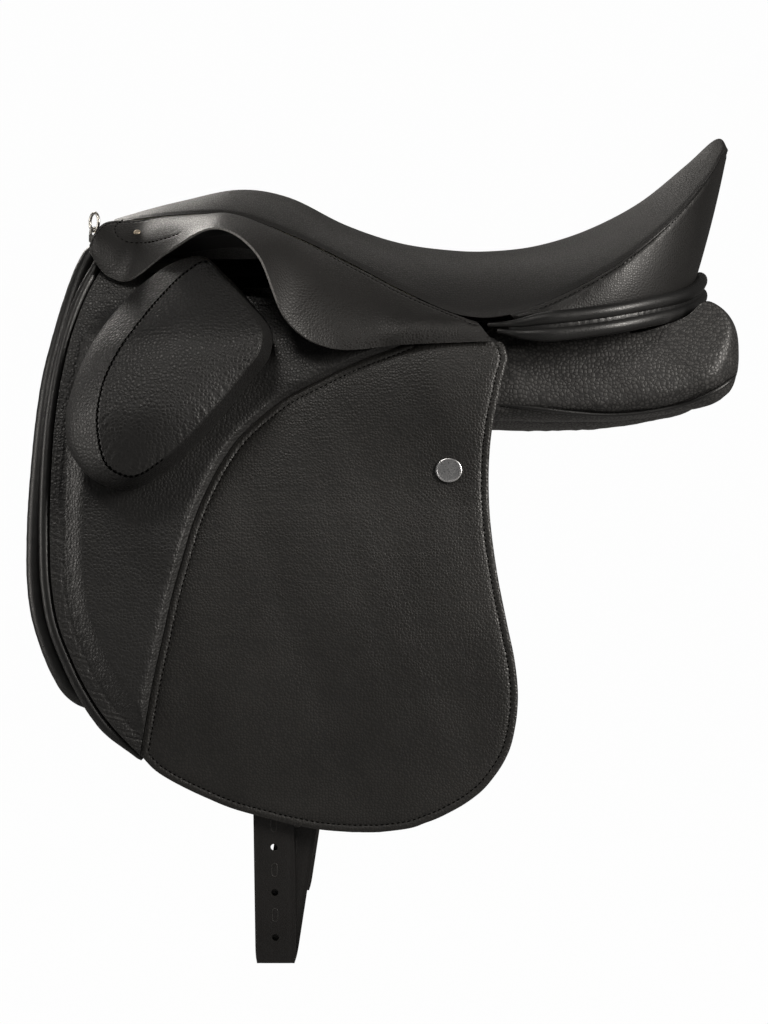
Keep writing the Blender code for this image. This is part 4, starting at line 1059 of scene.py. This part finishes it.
def panel_ring(x, values, scale, count):
    """A section of the panel, kept under the tree, the arch and the cantle rolls, and inside the flap."""
    out, z, half_length, half_thickness, tilt = values
    cosines, sines = circle(count)
    p, q = scale * half_length * rounded(cosines), scale * half_thickness * rounded(sines)
    tilt = math.radians(tilt)
    y = out + p * math.cos(tilt) + q * math.sin(tilt)
    z = z - p * math.sin(tilt) + q * math.cos(tilt)
    under_arch = np.interp(y, HEAD_ARCH[:, 0], HEAD_ARCH[:, 1] - 3.3)
    roll_x, roll_out, roll_z = np.array(ROLL_LINE).T
    under_rolls = np.interp(x - 2.7, roll_x, roll_z) - 17.1
    rolls_end = np.interp(x - 11.4, roll_x, roll_out) + 11.4
    beside_rolls = np.interp(x, *np.array(PANEL_REAR_TOP).T)
    ring = []
    for out, height, arch in zip(y, z, under_arch):
        height = min(height, under_tree(x, out) - PANEL_GAP)
        if x < ARCH_REAR:
            height = min(height, arch)
        if x > PANEL_REAR_TOP[0][0]:
            height = min(height, under_rolls if out < rolls_end else beside_rolls)
        height = max(height, 0.3)
        ring.append((x, min(out, on_wall(x, height, PANEL_OUT)[1]), height))
    return ring


def panel_rings(count):
    """Sections along the panel and round its rear end, smoothed both ways."""
    section = track(PANEL_STATIONS)
    first, last = PANEL_STATIONS[0][0], PANEL_STATIONS[-1][0]
    rings = [panel_ring(x, section(x), 1.0, count) for x in np.linspace(first, last, 90)]
    end_x, end_out = PANEL_END
    for turn in np.radians(np.linspace(3, 86, 30)):
        values = np.array(section(last))
        values[0] += (end_out - values[0]) * math.sin(turn)
        x = last + (end_x - last) * math.sin(turn)
        rings.append(panel_ring(x, values, math.cos(turn) ** 0.75, count))
    for _ in range(4):
        rings = smoothed(rings)
        rings = rings * 0.6 + (np.roll(rings, 1, axis=1) + np.roll(rings, -1, axis=1)) * 0.2
    return rings


def piping_path(rings, normal):
    """The seam round the panel's side: where each section's outer half is as high as the piping."""
    piping = track(PANEL_PIPING)
    path, facings = [], []
    for ring, ring_normal in zip(rings, normal):
        x, middle_out, _ = ring.mean(axis=0)
        outer_half = np.nonzero(ring[:, 1] > middle_out)[0]
        heights = ring[outer_half, 2]
        target = piping(x)
        nearest = outer_half[abs(heights - target).argmin()]
        if not 6 <= x <= 183.5 or abs(ring[nearest, 2] - target) > 6:
            continue
        order = np.argsort(heights)
        path.append((x, np.interp(target, heights[order], ring[outer_half, 1][order]), target))
        facings.append(ring_normal[nearest])
    return np.array(path), np.array(facings)


def make_panels():
    rings = panel_rings(96)
    around = np.roll(rings, -1, axis=1) - np.roll(rings, 1, axis=1)
    middles = rings.mean(axis=1, keepdims=True)
    normal = facing(unit(np.cross(np.gradient(rings, axis=0), around)), rings - middles)
    path, path_normals = piping_path(rings, normal)
    near = nearest_distance(rings[..., [0, 2]], path[:, [0, 2]])
    outside = ease((rings - middles)[..., 1] / 15)
    run = rings[..., 0]
    relief = outside * (0.45 * band(near, 7, 5) * ripple(run, 12.0, 71) - 1.1 * band(near, 0, 2.2))
    relief += 0.5 * ripple(run * 0.7 + rings[..., 2] * 0.6, 55.0, 73)
    skin = rings + normal * (relief * (0.15 + 0.85 * ease((run + 10) / 30)) - 0.4)[..., None]
    skin[..., 2] = np.maximum(skin[..., 2], 0.2)
    from_end = np.minimum(np.arange(len(path)), np.arange(len(path))[::-1])
    cord = smoothed(path, 3) + path_normals * 0.1
    cord_rings = tube_rings(cord, np.minimum(1.5, 0.3 + from_end * 0.2), 12)
    for side in SIDES:
        pad = stack("panel_leather_painted_light", skin, PANEL_LEATHER_PAINTED_LIGHT, ROOT, "panel", side, sharp=80)
        stack("panel_piping", cord_rings, ROLL_LEATHER, ROOT, None, side)


ROLL_FOOT = (-268, -197)
FRONT_ROLL_RADIUS = 6.3
FRONT_ROLL_LENGTH = 350


def front_roll():
    """The panel's outermost roll, with a rounded lower end."""
    share = np.linspace(0, 1, 190)
    x, z = along([*FRONT_ROLL_LINE, ROLL_FOOT])(share).T
    foot = 1 - np.clip((1 - share) / 0.075 + 0.01, 0, 1)
    radii = FRONT_ROLL_RADIUS * np.sqrt(1 - foot**2) * np.minimum(1, 0.6 + share * 20)
    path = on_wall(x, z, -8.0)
    return tube_rings(path, radii, 28, 1 + 0.012 * ripple(share * FRONT_ROLL_LENGTH, 13.0, 81))


def sweat_front(z):
    """The sweat flap's front edge, behind the roll and cut away under the roll's end."""
    return roll_front(z) + 6.8 + 2.4 * np.clip(FRONT_ROLL_LINE[-1][1] - z, 0, None)


def make_front_rolls():
    roll = front_roll()
    low, high = SWEAT_REAR[-1][0], SWEAT_REAR[0][0]
    x, z = layer(sweat_front, sweat_rear, low + (high - low) * bunched(90, 0.8), 60)
    outer, inner = on_wall(x, z, SWEAT_OUT - 0.1), on_wall(x, z, SWEAT_IN)
    path, normals = wall_path(inset_line(rim_line(x, z), 5.0), SWEAT_IN)
    finishes = [LINING_LEATHER, DARK_EDGE]
    seam = path, -normals
    for side in SIDES:
        stack("panel_front_roll_leather", roll, ROLL_LEATHER, ROOT, "panel_front_roll", side)
        sheet("sweat_flap_leather", outer, inner, finishes, ROOT, "sweat_flap", side, (1, 1, 1, 1))
        stitches("sweat_flap_thread", [seam], ROOT, side, pitch=3.4, length=2.3, radius=0.33)


# Girth straps

STRAP_TOP = 56
STRAP_HALF = 14
STRAP_LENGTH = 429
STRAPS_MEET = -143.5
HOLES = 6
HOLE_STEP = 31.0
HOLE_RADIUS = 2.45
HOLE_CORNERS = 24
MARK_POINTS = 32
MARK_CORNERS = 6
WEB_TOP = 90


def strap_middle(top_x, z):
    return top_x + (STRAPS_MEET - top_x) * (STRAP_TOP - z) / STRAP_LENGTH


def strap_sheet(top_x, out):
    """Both sides of a strap with a round upper end and a pressed line along its edges."""
    turns = np.radians(np.linspace(0, 88, 16))
    round_end = STRAP_TOP - STRAP_HALF + STRAP_HALF * np.cos(turns)
    heights = np.concatenate([round_end, np.linspace(41, -372.6, 110)])
    half = np.concatenate([STRAP_HALF * np.sin(turns), np.full(110, STRAP_HALF - 0.1)])
    half[0] = 0.8
    half[-3:] *= (0.995, 0.975, 0.93)
    across = bunched(15, 0.6) * 2 - 1
    x = strap_middle(top_x, heights)[:, None] + half[:, None] * across
    z = np.broadcast_to(heights[:, None], x.shape)
    crease = -0.3 * band(STRAP_HALF * (1 - abs(across)), 2.6, 0.5) * ease((z.max() - z) / 20)
    return on_wall(x, z, out - 0.05 + crease), on_wall(x, z, out - 3.95)


def loop_tube(path, aside, up, radius, corners):
    """Points round a closed path. Two directions span its sections."""
    return (path[:, None] + radius * circle_on(aside[:, None], up, corners)).reshape(-1, 3)


def punch(strap, points, faces):
    """Holes cut through a strap, applied to its mesh."""
    cutter = placed("holes", solid_mesh("holes", points, faces, [DARK_EDGE]))
    cut = strap.modifiers.new("holes", "BOOLEAN")
    cut.object = cutter
    cut.solver = "EXACT"
    bpy.context.view_layer.update()
    graph = bpy.context.evaluated_depsgraph_get()
    done = bpy.data.meshes.new_from_object(strap.evaluated_get(graph), depsgraph=graph)
    strap.modifiers.clear()
    strap.data = done
    bpy.data.objects.remove(cutter)
    soften(done, 40)


def strap_mark(x, z, out):
    """A thin raised line round a flat oval, between two holes."""
    cosines, sines = circle(MARK_POINTS)
    ring_x = x + 1.9 * np.sign(cosines) * abs(cosines) ** 0.5
    ring_z = z + 4.4 * np.sign(sines) * abs(sines) ** 0.6
    path = on_wall(ring_x, ring_z, out - 0.02)
    aside = np.cross(unit(np.roll(path, -1, axis=0) - np.roll(path, 1, axis=0)), OUTWARDS)
    return loop_tube(path, aside, np.array([0, 0.5, 0]), 0.3, MARK_CORNERS)


def make_strap(side, place, top_x, out, first_hole):
    body = f"{place}_strap"
    finishes = [STRAP_LEATHER, DARK_EDGE]
    names = f"{place}_strap_leather", f"{place}_girth_strap"
    outer, inner = strap_sheet(top_x, out)
    strap = sheet(names[0], outer, inner, finishes, body, names[1], side, (1, 1, 1, 1), 0.0)
    z = STRAP_TOP - STRAP_LENGTH + first_hole + np.arange(HOLES) * HOLE_STEP
    x = strap_middle(top_x, z)
    cosines, sines = HOLE_RADIUS * np.array(circle(HOLE_CORNERS))
    rod = np.concatenate([joined(cosines, reach, sines) for reach in (-8, 8)])
    rods = joined(x, wall(x, z) + out - 2, z)[:, None] + rod
    points, faces = copies(rods, rod_faces(2, HOLE_CORNERS))
    punch(strap, sided(points, side), faces)
    z = z + HOLE_STEP / 2
    marks = np.array([strap_mark(*mark, out) for mark in zip(strap_middle(top_x, z), z)])
    points, faces = copies(marks, grid_faces(MARK_POINTS, MARK_CORNERS, wrap=True, closed=True))
    make_piece(f"{place}_strap_marks", points, faces, [DARK_EDGE], body, side=side, sharp=80)
    across = STRAP_HALF * np.linspace(-1, 1, 9)
    x, z = np.meshgrid(top_x + across, np.linspace(STRAP_TOP + 0.4, WEB_TOP, 20))
    outer, inner = on_wall(x, z, out), on_wall(x, z, out - 4)
    sheet(f"{place}_girth_webbing", outer, inner, [WEB], ROOT, f"{place}_girth_web", side)


# Metalwork and the pommel's facing

FACING_OUTER = ((62, 92), (60, 112), (50, 134), (36, 147), (18, 153), (0, 155))
FACING_INNER = ((44, 92), (40, 110), (31, 126), (20, 135), (10, 139), (0, 140))
FACING_FRONT = -275.4
FACING_BACK = -270.7
RING_FOOT = np.array([-281.0, 62.0, 143.4])
RING_TURN = math.radians(56)
RING_RADIUS = 6.7
RING_WIRE = 1.17


def arched(half):
    """An arch over both sides, from the points of its right half."""
    return along([*half, *((-y, z) for y, z in half[-2::-1])])(np.linspace(0, 1, 121))


def make_facing():
    blend = np.linspace(0, 1, 12)[:, None]
    outer_y, outer_z = arched(FACING_OUTER).T
    inner_y, inner_z = arched(FACING_INNER).T
    y = outer_y * (1 - blend) + inner_y * blend
    z = outer_z * (1 - blend) + inner_z * blend
    front = joined(FACING_FRONT - 0.6 * np.sin(math.pi * blend), y, z)
    back = joined(FACING_BACK, y, z)
    sheet("front_facing_leather", front, back, [ROLL_LEATHER], ROOT, "front_facing", bevel=0.8)
    seam = front[2] - (0.1, 0, 0), np.tile([-1.0, 0, 0], (121, 1))
    stitches("front_facing_thread", [seam], ROOT, pitch=3.4, length=2.2, radius=0.3)


def make_rings():
    run = np.array([math.cos(RING_TURN), math.sin(RING_TURN), 0.0])
    across = np.array([-run[1], run[0], 0.0])
    away = circle_on(run, UPWARDS, 72)
    path = RING_FOOT + (0, 0, RING_RADIUS) + away * RING_RADIUS
    points = loop_tube(path, away, across, RING_WIRE, 16)
    faces = grid_faces(72, 16, wrap=True, closed=True)
    for side in SIDES:
        make_piece("dee_ring_wire", points, faces, [CHROME], "dee_ring", "dee_ring", side, sharp=80)


# The head plate, stirrup bars and rivets take the near-black steel, whose darkness is painted shade.
METAL_NODES = {"head_plate": STEEL_PAINTED_SHADE, "stirrup_bar": STEEL_PAINTED_SHADE, "bar_rivet": STEEL_PAINTED_SHADE, "dee_staple": CHROME}


def dress_metal():
    """The metal nodes of the CAD keep their shape and get their finish."""
    for name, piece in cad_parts.items():
        for start, finish in METAL_NODES.items():
            if name.startswith(start):
                for place in piece.material_slots:
                    place.material = finish


# Floor, light and camera, in metres

FLOOR_HEIGHT = -0.43
FLOOR_REAR = 3.2
FLOOR_CURVE = 1.5
BACKDROP_TOP = 4.0


def make_stage():
    """A floor that curves up into a backdrop, and is white where the camera sees it."""
    turns = np.radians(np.linspace(0, 90, 16))
    curve_y = FLOOR_REAR - FLOOR_CURVE * (1 - np.sin(turns))
    curve_z = FLOOR_HEIGHT + FLOOR_CURVE * (1 - np.cos(turns))
    profile = [(-3.5, FLOOR_HEIGHT), *zip(curve_y, curve_z), (FLOOR_REAR, BACKDROP_TOP)]
    points = [(x, y, z) for x in (-5.0, 5.0) for y, z in profile]
    mesh = bpy.data.meshes.new("floor")
    mesh.from_pydata(points, [], grid_faces(2, len(profile)))
    mesh.shade_smooth()
    made, tree, shader = new_material("floor_white", (0.3, 0.3, 0.3), 0.95)
    light_path = node(tree, "ShaderNodeLightPath")
    seen = node(tree, "ShaderNodeEmission", {"Color": (1, 1, 1, 1), "Strength": 1.0})
    shown = maths(tree, "MULTIPLY", light_path.outputs["Is Camera Ray"], 0.985)
    mixed = node(tree, "ShaderNodeMixShader", {0: shown, 1: shader.outputs[0], 2: seen.outputs[0]})
    tree.links.new(mixed.outputs[0], tree.nodes["Material Output"].inputs["Surface"])
    mesh.materials.append(made)
    placed("floor", mesh)


def add_light(name, place, target, size, power):
    """An area lamp that looks at a target. Its size is its width and height."""
    data = bpy.data.lights.new(name, "AREA")
    data.energy = power
    data.color = (1.0, 0.955, 0.9)
    data.shape = "RECTANGLE"
    data.size, data.size_y = size
    lamp = placed(name, data)
    lamp.location = place
    aim = Vector(target) - Vector(place)
    lamp.rotation_euler = aim.to_track_quat("-Z", "Y").to_euler()


def make_light():
    world = bpy.data.worlds.new("studio")
    scene.world = world
    world.use_nodes = True
    tree = world.node_tree
    background = tree.nodes["Background"]
    background.inputs["Color"].default_value = (1, 1, 1, 1)
    light_path = node(tree, "ShaderNodeLightPath")
    strength = mapped(tree, light_path.outputs["Is Camera Ray"], 0.0, 1.0, 0.06, 1.0)
    tree.links.new(strength, background.inputs["Strength"])
    add_light("key", (-0.5, -1.2, 1.4), (-0.05, 0, 0), (0.5, 0.5), 7)
    add_light("left", (-1.4, -0.35, 0.25), (-0.15, 0, 0), (0.4, 1.2), 8.5)
    add_light("right", (1.3, -1.0, 0.6), (0.1, 0, 0.05), (0.5, 0.9), 34)
    add_light("top", (0.0, 0.9, 1.4), (0.0, 0, 0.05), (0.9, 0.3), 1.4)
    add_light("behind", (-0.9, 1.4, 1.1), (0.15, 0, 0.15), (0.7, 0.7), 14)


def make_camera():
    data = bpy.data.cameras.new("camera")
    data.lens = 88.3
    data.sensor_width = 36.0
    data.clip_start = 0.05
    camera = placed("camera", data)
    camera.location = (-0.069, -1.9, -0.062)
    camera.rotation_euler = (math.radians(90), 0, 0)
    scene.camera = camera
    scene.view_settings.view_transform = "Standard"


make_seat()
make_cantle()
make_cantle_rolls()
make_skirts()
make_flaps()
make_knee_blocks()
make_panels()
make_front_rolls()
for side in SIDES:
    make_strap(side, "front", -150.0, -0.9, 18.0)
    make_strap(side, "rear", -78.0, -5.8, 33.5)
make_facing()
make_rings()
dress_metal()
make_stage()
make_light()
make_camera()
